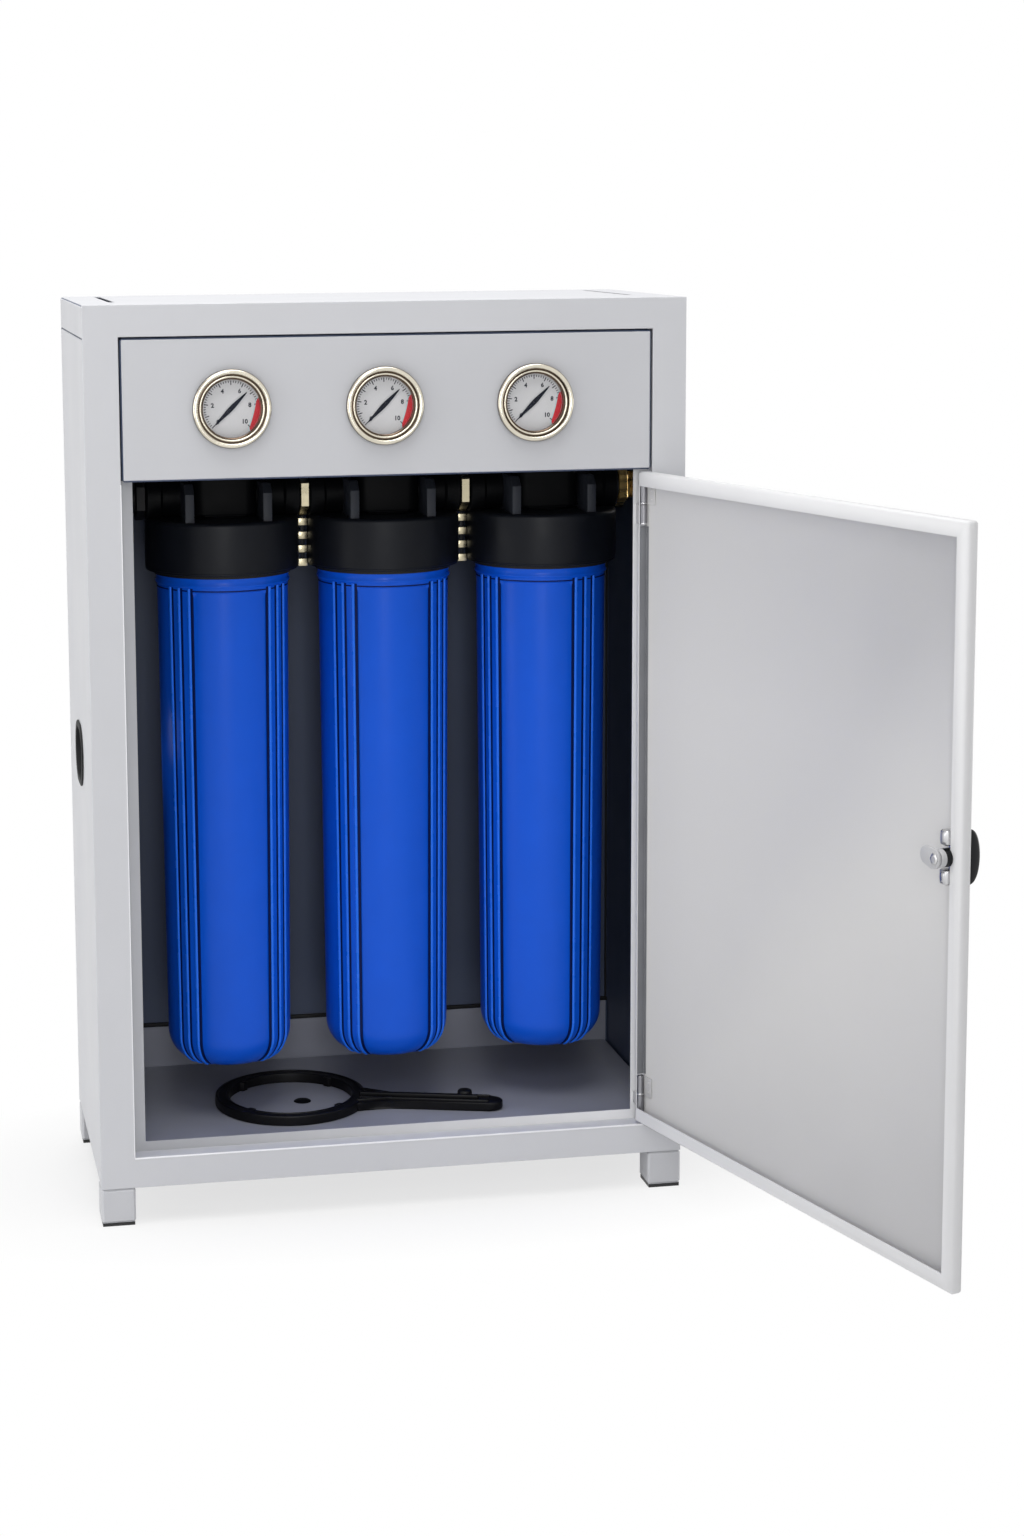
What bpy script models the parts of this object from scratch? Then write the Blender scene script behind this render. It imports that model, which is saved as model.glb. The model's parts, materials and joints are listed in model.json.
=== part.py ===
"""Whole house water filter: three big housings in a sheet-steel floor cabinet with its door open.

Blender 4.5. Run with: blender --background --python part.py

The model is built in a cabinet frame: X to the right, Y into the cabinet, Z up, with X = 0 in the
middle of the cabinet, Y = 0 on its front face and Z = 0 on the floor. An empty carries that frame, so
that the finished part has its origin at the middle of its footprint, door included.
"""

import math

import bmesh
import bpy
from mathutils import Matrix, Vector

MM = 0.001

# General clearances and sheet metal
GAP = 0.3 * MM
SHEET = 1.5 * MM
BEND_RADIUS = 2.6 * MM
EDGE_ROUND = 0.5 * MM
WELD = 0.01 * MM
OVERRUN = 5 * MM

# Facets of round pieces
BIG_STEPS = 28
SMALL_STEPS = 20
TINY_STEPS = 12

# Cabinet
CABINET_WIDTH = 700 * MM
CABINET_DEPTH = 340 * MM
BODY_HEIGHT = 1027 * MM
FOOT_HEIGHT = 45 * MM
STILE_WIDTH = 40 * MM
TOP_RAIL = 36 * MM
BOTTOM_RAIL = 36 * MM
RABBET_DEPTH = 24 * MM
SIDE_FLANGE = 22 * MM
COVER_SKIRT = 37 * MM

# Door rabbet strip behind the returned edges of the opening
STRIP_LEFT = 15 * MM
STRIP_RIGHT = 16 * MM
STRIP_SILL = 11 * MM
STRIP_OVERLAP = 16 * MM

# Slots in the top cover
SLOT_LENGTH = 215 * MM
SLOT_WIDTH = 7 * MM
SLOT_EDGE_DISTANCE = 42 * MM
SLOT_BACK_DISTANCE = 32 * MM

# Pipe holes in the sides
PIPE_HOLE_LENGTH = 92 * MM
PIPE_HOLE_HEIGHT = 67 * MM
PIPE_HOLE_PLACE_SHARE = 0.4732
PIPE_HOLE_Y = 175 * MM
GROMMET_LIP = 4 * MM
GROMMET_THICKNESS = 2 * MM
GROMMET_WALL = 3 * MM
OUTLET_HOLE_RADIUS = 28 * MM

# Feet
FOOT_WIDTH = 40 * MM
FOOT_ROUND = 2.5 * MM
PAD_HEIGHT = 4 * MM
PAD_INSET = 1.2 * MM

# Floor tray
FLOOR_RAISE = 40 * MM
TRAY_UPSTAND = 52 * MM
DRAIN_HOLE_RADIUS = 9 * MM
DRAIN_HOLE_X = -88 * MM
DRAIN_HOLE_Y = 156 * MM

# Gauge panel
PANEL_HEIGHT = 162 * MM
PANEL_CLEARANCE = 1.5 * MM
PANEL_DEPTH = 22 * MM

# Door
DOOR_OPEN = math.radians(105.8)
DOOR_THICKNESS = 14 * MM
DOOR_CLEARANCE = 2.5 * MM
DOOR_LIP = 17 * MM
HINGE_EDGE_INSET = 6.5 * MM
PIVOT_EDGE_INSET = 8.5 * MM

# Hinges
HINGE_LENGTH = 48 * MM
HINGE_TOP_DISTANCE = 15 * MM
HINGE_BOTTOM_DISTANCE = 8 * MM
KNUCKLE_RADIUS = 4.5 * MM
HINGE_PIN_RADIUS = 2 * MM
HINGE_PIN_CLEARANCE = 0.35 * MM
HINGE_LEAF_WIDTH = 19 * MM
HINGE_NOTCH_CLEARANCE = 2 * MM
HINGE_BLOCK_RISE = 4.2 * MM

# Latch
LATCH_EDGE_DISTANCE = 22 * MM
LATCH_RAISE = 55.25 * MM
LATCH_FLANGE_RADIUS = 15 * MM
LATCH_FLANGE_THICKNESS = 2 * MM
LATCH_BARREL_RADIUS = 9.5 * MM
LATCH_SHAFT_RADIUS = 4 * MM
HANDLE_LENGTH = 57 * MM
HANDLE_WIDTH = 15 * MM
HANDLE_RISE = 10.5 * MM
HANDLE_ROUND = 3 * MM
CAM_REACH = 23.5 * MM
CAM_TAIL = 8 * MM
CAM_WIDTH = 23 * MM
CAM_CORNER = 7 * MM
CAM_THICKNESS = 2.5 * MM
BRACKET_PLATE_WIDTH = 22 * MM
BRACKET_PLATE_HEIGHT = 54 * MM
BRACKET_PLATE_THICKNESS = 1.6 * MM
BRACKET_LUG_HEIGHT = 13 * MM
BRACKET_LUG_DEPTH = 9 * MM

# Housings: positions
HOUSING_COUNT = 3
HOUSING_PITCH_SHARE = 0.28
HOUSING_SHIFT_X = 20 * MM
HOUSING_Y = 165 * MM
CAP_DROP = 120.5 * MM
SUMP_FLOOR_CLEARANCE = 62 * MM

# Caps (heads), heights above the bottom edge of the skirt
SKIRT_GAP = 12 * MM
SKIRT_HEIGHT_SHARE = 0.504
SKIRT_ROUND = 4 * MM
HUB_RADIUS_SHARE = 0.424
HUB_FLARE = 13 * MM
HUB_HEIGHT = 123 * MM
ROOF_THICKNESS = 11 * MM
STANDPIPE_RADIUS = 24 * MM
STANDPIPE_LENGTH = 15 * MM
WATERWAY_RADIUS = 14 * MM
PORT_RADIUS_SHARE = 0.2236
PORT_TOP_MARGIN = 8.7 * MM
PORT_BORE = 17 * MM
FEED_HOLE_RADIUS = 9 * MM
FIN_OFFSET_SHARE = 0.5
FIN_THICKNESS = 11 * MM
FIN_REACH_SHARE = 0.78
FIN_HEIGHT = 44 * MM
BUTTON_BOSS_RADIUS = 13 * MM
BUTTON_BOSS_HEIGHT = 5 * MM

# Relief button
BUTTON_RADIUS = 8 * MM
BUTTON_CAP = 6 * MM
BUTTON_TRAVEL = 3 * MM
BUTTON_STEM_RADIUS = 4 * MM
BUTTON_STEM_LENGTH = 10 * MM
BUTTON_STEM_CLEARANCE = 0.5 * MM

# Sumps, insets measured from the outer radius of the cap's skirt
NECK_INSET = 14 * MM
THREAD_CLEARANCE = 0.9 * MM
COLLAR_INSET = 10.5 * MM
COLLAR_HEIGHT = 15 * MM
GROOVE_HEIGHT = 4 * MM
WALL_INSET = 13.5 * MM
WALL_TAPER = 4 * MM
SUMP_WALL = 6 * MM
SUMP_BOTTOM_RADIUS = 38 * MM
RIB_HEIGHT = 3.2 * MM
RIB_GROUP_START = math.radians(30)
RIB_SPACING = math.radians(12)
RIBS_PER_GROUP = 3
PLAIN_FRONT_FACETS = 4
PLAIN_SIDE_FACETS = 3
SUMP_TURNS = (0.0, 0.0, math.radians(-18))
SEAL_RADIUS = 2.9 * MM

# Cartridges
CARTRIDGE_CLEARANCE = 11.5 * MM
CARTRIDGE_CAP_HEIGHT = 14 * MM
CARTRIDGE_CAP_LIP = 2 * MM
CARTRIDGE_BORE = 15 * MM

# Brass fittings between and beside the caps
THREAD_RADIUS = 16.5 * MM
THREAD_LENGTH = 20 * MM
FITTING_BORE = 12 * MM
HEX_WIDTH = 12 * MM
OUTLET_END_CLEARANCE = 5.2 * MM
ELBOW_RADIUS = 19 * MM
ELBOW_BEND = 24 * MM
ELBOW_LEG = 30 * MM
ELBOW_COLLAR_RADIUS = 23 * MM
ELBOW_COLLAR_HEIGHT = 14 * MM

# Toothed spacer straps between the caps
STRAP_WIDTH = 5 * MM
STRAP_THICKNESS = 3 * MM
STRAP_TOOTH_HEIGHT = 8.5 * MM
STRAP_TOOTH_PITCH = 15.5 * MM
STRAP_TEETH = 4

# Bracket that carries the caps
BRACKET_THICKNESS = 3 * MM
BRACKET_RISE = 70 * MM
BRACKET_END_MARGIN = 28 * MM
BRACKET_FRONT_CLEARANCE = 18 * MM

# Gauges, depths measured forward from the face of the gauge panel
GAUGE_PITCH_SHARE = 0.2515
GAUGE_SHIFT_X = -7 * MM
CASE_RADIUS = 39 * MM
CASE_WALL = 2.5 * MM
CASE_DEPTH = 34 * MM
CASE_HOLE_CLEARANCE = 0.6 * MM
FLANGE_RADIUS = 43 * MM
FLANGE_THICKNESS = 2 * MM
STEM_RADIUS = 9 * MM
STEM_LENGTH = 12 * MM
BEZEL_RADIUS = 45 * MM
BEZEL_HEIGHT = 6.5 * MM
BEZEL_INNER_RADIUS = 32.5 * MM
BEZEL_ROUND = 2 * MM
BEZEL_GROOVE = 1.2 * MM
DIAL_RADIUS = 36 * MM
DIAL_THICKNESS = 1.2 * MM
DIAL_DEPTH = 3 * MM
NEEDLE_LENGTH = 27 * MM
NEEDLE_TAIL = 25 * MM
NEEDLE_WIDTH = 4.8 * MM
NEEDLE_TIP = 0.8 * MM
NEEDLE_THICKNESS = 0.8 * MM
NEEDLE_HUB_RADIUS = 3.2 * MM
NEEDLE_HUB_DEPTH = 4 * MM
NEEDLE_CLEARANCE = 0.6 * MM
NEEDLE_ZERO = math.radians(225)

# Gauge tubes
TUBE_RADIUS = 3 * MM
TUBE_BEND = 18 * MM
TUBE_PORT_OFFSET = 26 * MM
TUBE_SOCKET = 8 * MM

# Sump spanner
SPANNER_BAND = 14.5 * MM
SPANNER_THICKNESS = 12 * MM
SPANNER_X = -103 * MM
SPANNER_Y = 156 * MM
SPANNER_ANGLE = math.radians(-17)
SPANNER_HANDLE_LENGTH = 170 * MM
SPANNER_HANDLE_WIDTH = 30 * MM
SPANNER_TOOTH_DEPTH = 5 * MM
SPANNER_TOOTH_WIDTH = 9 * MM
SPANNER_TEETH = 6
SPANNER_RIB_WIDTH = 8 * MM
SPANNER_RIB_HEIGHT = 4 * MM
SPANNER_KNOB_RADIUS = 9 * MM
SPANNER_KNOB_HEIGHT = 5 * MM

# Places worked out from the sizes above, in the cabinet frame
BODY_TOP = FOOT_HEIGHT + BODY_HEIGHT
OPENING_HALF_WIDTH = CABINET_WIDTH / 2 - STILE_WIDTH
OPENING_TOP = BODY_TOP - TOP_RAIL
OPENING_BOTTOM = FOOT_HEIGHT + BOTTOM_RAIL
PANEL_TOP = OPENING_TOP - PANEL_CLEARANCE
PANEL_BOTTOM = PANEL_TOP - PANEL_HEIGHT
DOOR_TOP = PANEL_BOTTOM - DOOR_CLEARANCE
DOOR_BOTTOM = OPENING_BOTTOM + DOOR_CLEARANCE
DOOR_LEFT = -OPENING_HALF_WIDTH + DOOR_CLEARANCE
DOOR_RIGHT = OPENING_HALF_WIDTH - HINGE_EDGE_INSET
PIVOT_X = OPENING_HALF_WIDTH - PIVOT_EDGE_INSET
PIVOT_Y = SHEET + GAP + KNUCKLE_RADIUS
STRIP_Y = RABBET_DEPTH + GAP
SIDE_FRONT = SHEET + GAP
SIDE_BACK = CABINET_DEPTH - SHEET - GAP
SIDE_TOP = BODY_TOP - COVER_SKIRT - GAP
SIDE_INNER = CABINET_WIDTH / 2 - SHEET
TRAY_FRONT = STRIP_Y + SHEET + GAP
TRAY_BACK = SIDE_BACK - SHEET - BEND_RADIUS
TRAY_HALF_WIDTH = SIDE_INNER - BEND_RADIUS
TRAY_BOTTOM = FOOT_HEIGHT + SHEET + GAP
FLOOR_HEIGHT = FOOT_HEIGHT + FLOOR_RAISE
PIPE_HOLE_Z = FOOT_HEIGHT + BODY_HEIGHT * PIPE_HOLE_PLACE_SHARE
HOUSING_PITCH = CABINET_WIDTH * HOUSING_PITCH_SHARE
SKIRT_RADIUS = (HOUSING_PITCH - SKIRT_GAP) / 2
SKIRT_HEIGHT = HUB_HEIGHT * SKIRT_HEIGHT_SHARE
HUB_RADIUS = SKIRT_RADIUS * HUB_RADIUS_SHARE
HUB_FOOT_RADIUS = HUB_RADIUS + HUB_FLARE
FIN_OFFSET = SKIRT_RADIUS * FIN_OFFSET_SHARE
FIN_REACH = SKIRT_RADIUS * FIN_REACH_SHARE
PORT_RADIUS = HUB_HEIGHT * PORT_RADIUS_SHARE
PORT_HEIGHT = HUB_HEIGHT - PORT_RADIUS - PORT_TOP_MARGIN
HEX_RADIUS = PORT_RADIUS
NECK_RADIUS = SKIRT_RADIUS - NECK_INSET
COLLAR_RADIUS = SKIRT_RADIUS - COLLAR_INSET
WALL_RADIUS_TOP = SKIRT_RADIUS - WALL_INSET
WALL_RADIUS_BOTTOM = WALL_RADIUS_TOP - WALL_TAPER
CARTRIDGE_RADIUS = WALL_RADIUS_BOTTOM - SUMP_WALL - CARTRIDGE_CLEARANCE
SKIRT_BOTTOM_Z = PANEL_BOTTOM - CAP_DROP
SUMP_BOTTOM_Z = FLOOR_HEIGHT + SUMP_FLOOR_CLEARANCE
HEAD_TOP_Z = SKIRT_BOTTOM_Z + HUB_HEIGHT
PORT_Z = SKIRT_BOTTOM_Z + PORT_HEIGHT
ROOF_INSIDE = SKIRT_HEIGHT - ROOF_THICKNESS
STANDPIPE_END = ROOF_INSIDE - STANDPIPE_LENGTH
NECK_TOP = ROOF_INSIDE - 2 * (SEAL_RADIUS + GAP)
SUMP_LENGTH = SKIRT_BOTTOM_Z - SUMP_BOTTOM_Z
OUTLET_END = SIDE_INNER - OUTLET_END_CLEARANCE
LATCH_X = DOOR_LEFT + LATCH_EDGE_DISTANCE
LATCH_Z = (DOOR_TOP + DOOR_BOTTOM) / 2 + LATCH_RAISE
CAM_Y = STRIP_Y + SHEET + 2 * GAP
GAUGE_Z = (PANEL_TOP + PANEL_BOTTOM) / 2
GAUGE_PITCH = CABINET_WIDTH * GAUGE_PITCH_SHARE
HANDLE_OUT = LATCH_FLANGE_THICKNESS + GAP + HANDLE_RISE
SPANNER_INNER = WALL_RADIUS_BOTTOM + RIB_HEIGHT + GAP
SPANNER_OUTER = SPANNER_INNER + SPANNER_BAND


def housing_x(index):
    """Centre of housing number index, counted from the left."""
    return HOUSING_SHIFT_X + (index - (HOUSING_COUNT - 1) / 2) * HOUSING_PITCH


def gauge_x(index):
    """Centre of gauge number index, counted from the left."""
    return GAUGE_SHIFT_X + (index - (HOUSING_COUNT - 1) / 2) * GAUGE_PITCH


def door_point(x, y):
    """Where a point of the closed door comes to in the cabinet frame when the door is open."""
    turned_point = Matrix.Rotation(DOOR_OPEN, 2) @ Vector((x - PIVOT_X, y - PIVOT_Y))
    return turned_point.x + PIVOT_X, turned_point.y + PIVOT_Y


def footprint_centre():
    """Middle of the part's bounding box seen from above, with the door open."""
    handle_x, _ = door_point(LATCH_X - HANDLE_WIDTH / 2 + HANDLE_ROUND, -HANDLE_OUT)
    _, edge_y = door_point(DOOR_LEFT, DOOR_THICKNESS)
    return (handle_x - CABINET_WIDTH / 2) / 2, (edge_y + CABINET_DEPTH) / 2


# Scene helpers

def clear_scene():
    """Remove every object that is in the scene."""
    for item in list(bpy.data.objects):
        bpy.data.objects.remove(item, do_unlink=True)


def new_collection(name):
    """Return a new collection under the scene."""
    collection = bpy.data.collections.new(name)
    bpy.context.scene.collection.children.link(collection)
    return collection


def material(name, colour, roughness, metallic=0.0):
    """Return a Principled material."""
    made = bpy.data.materials.new(name)
    made.use_nodes = True
    shader = made.node_tree.nodes["Principled BSDF"]
    shader.inputs["Base Color"].default_value = (*colour, 1.0)
    shader.inputs["Roughness"].default_value = roughness
    shader.inputs["Metallic"].default_value = metallic
    return made


clear_scene()
PARTS = new_collection("whole_house_water_filter")
CUTTERS = new_collection("cutters")

PAINT = material("light_grey_powder_coat", (0.58, 0.58, 0.60), 0.45)
PANEL_PAINT = material("gauge_panel_powder_coat", (0.60, 0.60, 0.62), 0.42)
BLACK_PLASTIC = material("black_cap_plastic", (0.014, 0.015, 0.018), 0.42)
BLUE_PLASTIC = material("blue_sump_plastic", (0.02, 0.11, 0.60), 0.28)
SEAL_RUBBER = material("seal_rubber", (0.010, 0.010, 0.010), 0.70)
FILTER_MEDIA = material("white_filter_media", (0.75, 0.74, 0.70), 0.85)
BUTTON_RED = material("red_button_plastic", (0.45, 0.02, 0.02), 0.35)
BRASS = material("brass", (0.55, 0.42, 0.20), 0.30, 1.0)
COPPER = material("copper_tube", (0.60, 0.32, 0.20), 0.30, 1.0)
ZINC = material("zinc_plated_steel", (0.55, 0.55, 0.53), 0.35, 1.0)
BEZEL_METAL = material("polished_nickel", (0.75, 0.70, 0.60), 0.16, 1.0)
DIAL_WHITE = material("dial_light_grey", (0.62, 0.62, 0.63), 0.60)
NEEDLE_BLUE = material("needle_dark_blue", (0.012, 0.02, 0.06), 0.40)
SPANNER_BLACK = material("black_spanner_plastic", (0.012, 0.012, 0.014), 0.50)


def frame_empty(name, parent=None, location=(0, 0, 0), rotation=(0, 0, 0)):
    """Add an empty that carries a frame, such as a joint's axis."""
    empty = bpy.data.objects.new(name, None)
    PARTS.objects.link(empty)
    empty.parent = parent
    empty.location = location
    empty.rotation_euler = rotation
    return empty


def place(item, parent, location=(0, 0, 0), rotation=(0, 0, 0)):
    """Put an object in its parent's frame."""
    item.parent = parent
    item.location = location
    item.rotation_euler = rotation
    return item


def add_object(name, mesh, surface):
    """Link a mesh object into the part's collection."""
    item = bpy.data.objects.new(name, mesh)
    mesh.materials.append(surface)
    PARTS.objects.link(item)
    return item


def as_cutter(item):
    """Hide a cutter from the build and move it to the cutters' collection."""
    item.hide_render = True
    item.display_type = "WIRE"
    PARTS.objects.unlink(item)
    CUTTERS.objects.link(item)
    return item


def mesh_from(bm, name):
    """Turn a bmesh into a mesh and free it."""
    mesh = bpy.data.meshes.new(name)
    bm.to_mesh(mesh)
    bm.free()
    return mesh


def smooth(item, angle=math.radians(32)):
    """Shade a round piece smooth with its edges left sharp."""
    item.data.shade_smooth()
    item.data.set_sharp_from_angle(angle=angle)
    return item


def baked(item):
    """Return a mesh object made from an object's evaluated shape, with its seams welded."""
    bpy.context.view_layer.update()
    evaluated = item.evaluated_get(bpy.context.evaluated_depsgraph_get())
    mesh = bpy.data.meshes.new_from_object(evaluated)
    bm = bmesh.new()
    bm.from_mesh(mesh)
    bmesh.ops.remove_doubles(bm, verts=bm.verts, dist=WELD)
    bm.to_mesh(mesh)
    bm.free()
    name = item.name
    matrix = item.matrix_world.copy()
    bpy.data.objects.remove(item, do_unlink=True)
    made = bpy.data.objects.new(name, mesh)
    PARTS.objects.link(made)
    made.matrix_world = matrix
    return made


# Modifiers

def boolean(item, other, operation):
    """Cut another solid out of an object, or join it on."""
    step = item.modifiers.new(f"{operation.lower()}_{other.name}"[:60], "BOOLEAN")
    step.operation = operation
    step.object = other
    step.solver = "EXACT"
    as_cutter(other)
    return item


def cut(item, *others):
    """Subtract other solids from an object."""
    for other in others:
        boolean(item, other, "DIFFERENCE")
    return item


def join(item, *others):
    """Unite other solids with an object."""
    for other in others:
        boolean(item, other, "UNION")
    return item


def bevel(item, width, segments=1, angle=math.radians(40)):
    """Round an object's sharp edges."""
    step = item.modifiers.new("rounded_edges", "BEVEL")
    step.width = width
    step.segments = segments
    step.limit_method = "ANGLE"
    step.angle_limit = angle
    return item


def solidify(item, thickness):
    """Give an open surface its sheet thickness on the inner side."""
    step = item.modifiers.new("sheet", "SOLIDIFY")
    step.thickness = thickness
    step.offset = -1
    step.use_even_offset = True
    return item


# Primitive shapes

def box(name, low, high, surface):
    """Add a box between two corners."""
    low, high = Vector(low), Vector(high)
    bm = bmesh.new()
    bmesh.ops.create_cube(bm, size=1.0)
    bmesh.ops.scale(bm, vec=high - low, verts=bm.verts)
    item = add_object(name, mesh_from(bm, name), surface)
    item.location = (low + high) / 2
    return item


def sheet_box(name, low, high, open_sides, surface, lip_side=None, lip=0.0):
    """Add a folded sheet-metal box with some sides left open, or one side open inside a lip."""
    low, high = Vector(low), Vector(high)
    bm = bmesh.new()
    bmesh.ops.create_cube(bm, size=1.0)
    bmesh.ops.scale(bm, vec=high - low, verts=bm.verts)
    bm.normal_update()
    if lip_side is not None:
        rim = [face for face in bm.faces if face.normal.dot(Vector(lip_side)) > 0.5]
        bmesh.ops.inset_region(bm, faces=rim, thickness=lip, use_even_offset=True)
        bmesh.ops.delete(bm, geom=rim, context="FACES")
    gone = [face for face in bm.faces if any(face.normal.dot(Vector(side)) > 0.5 for side in open_sides)]
    bmesh.ops.delete(bm, geom=gone, context="FACES")
    item = add_object(name, mesh_from(bm, name), surface)
    item.location = (low + high) / 2
    bevel(item, BEND_RADIUS)
    solidify(item, SHEET)
    return item


def cylinder(name, radius, bottom, top, surface, steps=SMALL_STEPS):
    """Add an upright cylinder from bottom to top."""
    bm = bmesh.new()
    middle = Matrix.Translation((0, 0, (bottom + top) / 2))
    bmesh.ops.create_cone(bm, cap_ends=True, segments=steps, radius1=radius, radius2=radius,
                          depth=top - bottom, matrix=middle)
    return smooth(add_object(name, mesh_from(bm, name), surface))


def turned(name, profile, surface, steps=SMALL_STEPS, closed=False):
    """Add a turned solid from a profile of (radius, height) pairs that runs down its outer side."""
    mesh = bpy.data.meshes.new(name)
    points = [(radius, 0, height) for radius, height in profile]
    edges = [(number, number + 1) for number in range(len(points) - 1)]
    if closed:
        edges.append((len(points) - 1, 0))
    mesh.from_pydata(points, edges, [])
    item = add_object(name, mesh, surface)
    screw = item.modifiers.new("turned", "SCREW")
    screw.axis = "Z"
    screw.steps = steps
    screw.render_steps = steps
    screw.use_merge_vertices = True
    screw.merge_threshold = WELD
    screw.use_smooth_shade = True
    return item


def plate(name, outline, thickness, surface, holes=()):
    """Add a flat plate with the given outline in XY, centred on Z = 0."""
    curve = bpy.data.curves.new(name, "CURVE")
    curve.dimensions = "2D"
    curve.fill_mode = "BOTH"
    curve.extrude = thickness / 2
    for loop in (outline, *holes):
        spline = curve.splines.new("POLY")
        spline.points.add(len(loop) - 1)
        for point, (x, y) in zip(spline.points, loop):
            point.co = (x, y, 0, 1)
        spline.use_cyclic_u = True
    item = bpy.data.objects.new(name, curve)
    PARTS.objects.link(item)
    item = baked(item)
    item.data.materials.append(surface)
    return item


def tube(name, points, radius, surface, resolution=2):
    """Add a round tube with filled ends along a list of points."""
    curve = bpy.data.curves.new(name, "CURVE")
    curve.dimensions = "3D"
    curve.bevel_depth = radius
    curve.bevel_resolution = resolution
    curve.use_fill_caps = True
    spline = curve.splines.new("POLY")
    spline.points.add(len(points) - 1)
    for point, place_of_point in zip(spline.points, points):
        point.co = (*place_of_point, 1)
    curve.materials.append(surface)
    item = bpy.data.objects.new(name, curve)
    PARTS.objects.link(item)
    return item


# Outlines and paths

def arc(centre, radius, start, end, steps):
    """Points of an arc, ends included."""
    points = []
    for number in range(steps + 1):
        angle = start + (end - start) * number / steps
        points.append((centre[0] + radius * math.cos(angle), centre[1] + radius * math.sin(angle)))
    return points


def rounded_rectangle(width, height, radius, steps=3):
    """Outline of a rectangle with round corners, centred on the origin."""
    points = []
    for quarter, (side_x, side_y) in enumerate(((1, 1), (-1, 1), (-1, -1), (1, -1))):
        centre = (side_x * (width / 2 - radius), side_y * (height / 2 - radius))
        start = quarter * math.pi / 2
        points += arc(centre, radius, start, start + math.pi / 2, steps)
    return points


def obround(length, height, steps=6):
    """Outline of a slot with round ends, its length along X."""
    radius = height / 2
    reach = length / 2 - radius
    right = arc((reach, 0), radius, -math.pi / 2, math.pi / 2, steps)
    left = arc((-reach, 0), radius, math.pi / 2, 3 * math.pi / 2, steps)
    return right + left


def filleted_path(corners, radius, steps=4):
    """Replace the inner corners of a path by arcs."""
    corners = [Vector(corner) for corner in corners]
    points = [corners[0]]
    for before, corner, after in zip(corners, corners[1:], corners[2:]):
        towards = (before - corner).normalized()
        onwards = (after - corner).normalized()
        half = towards.angle(onwards) / 2
        reach = radius / math.tan(half)
        bisector = (towards + onwards).normalized()
        centre = corner + bisector * (radius / math.sin(half))
        first = corner + towards * reach - centre
        last = corner + onwards * reach - centre
        for number in range(steps + 1):
            points.append(centre + first.normalized().slerp(last.normalized(), number / steps) * radius)
    points.append(corners[-1])
    return points


# Cabinet

def make_front_frame(root):
    """Front plate with its opening, and the edges of the opening folded back."""
    half_width = CABINET_WIDTH / 2
    frame = box("front_frame", (-half_width, 0, FOOT_HEIGHT), (half_width, SHEET, BODY_TOP), PAINT)
    returns = box("front_returns",
                  (-OPENING_HALF_WIDTH - SHEET, EDGE_ROUND, OPENING_BOTTOM - SHEET),
                  (OPENING_HALF_WIDTH + SHEET, RABBET_DEPTH, OPENING_TOP + SHEET), PAINT)
    opening = box("front_opening",
                  (-OPENING_HALF_WIDTH, -OVERRUN, OPENING_BOTTOM),
                  (OPENING_HALF_WIDTH, RABBET_DEPTH + OVERRUN, OPENING_TOP), PAINT)
    for item in (frame, returns, opening):
        item.parent = root
    join(frame, returns)
    cut(frame, opening)
    bevel(frame, EDGE_ROUND)


def make_door_rabbet(root):
    """U-shaped strip behind the opening that the door closes over."""
    outer_x = OPENING_HALF_WIDTH + STRIP_OVERLAP
    inner_left = -OPENING_HALF_WIDTH + STRIP_LEFT
    inner_right = OPENING_HALF_WIDTH - STRIP_RIGHT
    top = PANEL_BOTTOM - GAP
    bottom = OPENING_BOTTOM - STRIP_OVERLAP
    sill = OPENING_BOTTOM + STRIP_SILL
    outline = [(-outer_x, bottom), (outer_x, bottom), (outer_x, top), (inner_right, top),
               (inner_right, sill), (inner_left, sill), (inner_left, top), (-outer_x, top)]
    strip = plate("door_rabbet", outline, SHEET, PAINT)
    place(strip, root, (0, STRIP_Y + SHEET / 2, 0), (math.pi / 2, 0, 0))


def make_side_panel(root, name, side):
    """Side panel folded from sheet, side is -1 on the left and 1 on the right."""
    outer = side * CABINET_WIDTH / 2
    inner = side * (CABINET_WIDTH / 2 - SIDE_FLANGE)
    low = (min(outer, inner), SIDE_FRONT, FOOT_HEIGHT)
    high = (max(outer, inner), SIDE_BACK, SIDE_TOP)
    panel = sheet_box(name, low, high, [(-side, 0, 0)], PAINT)
    panel.parent = root
    return panel


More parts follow.
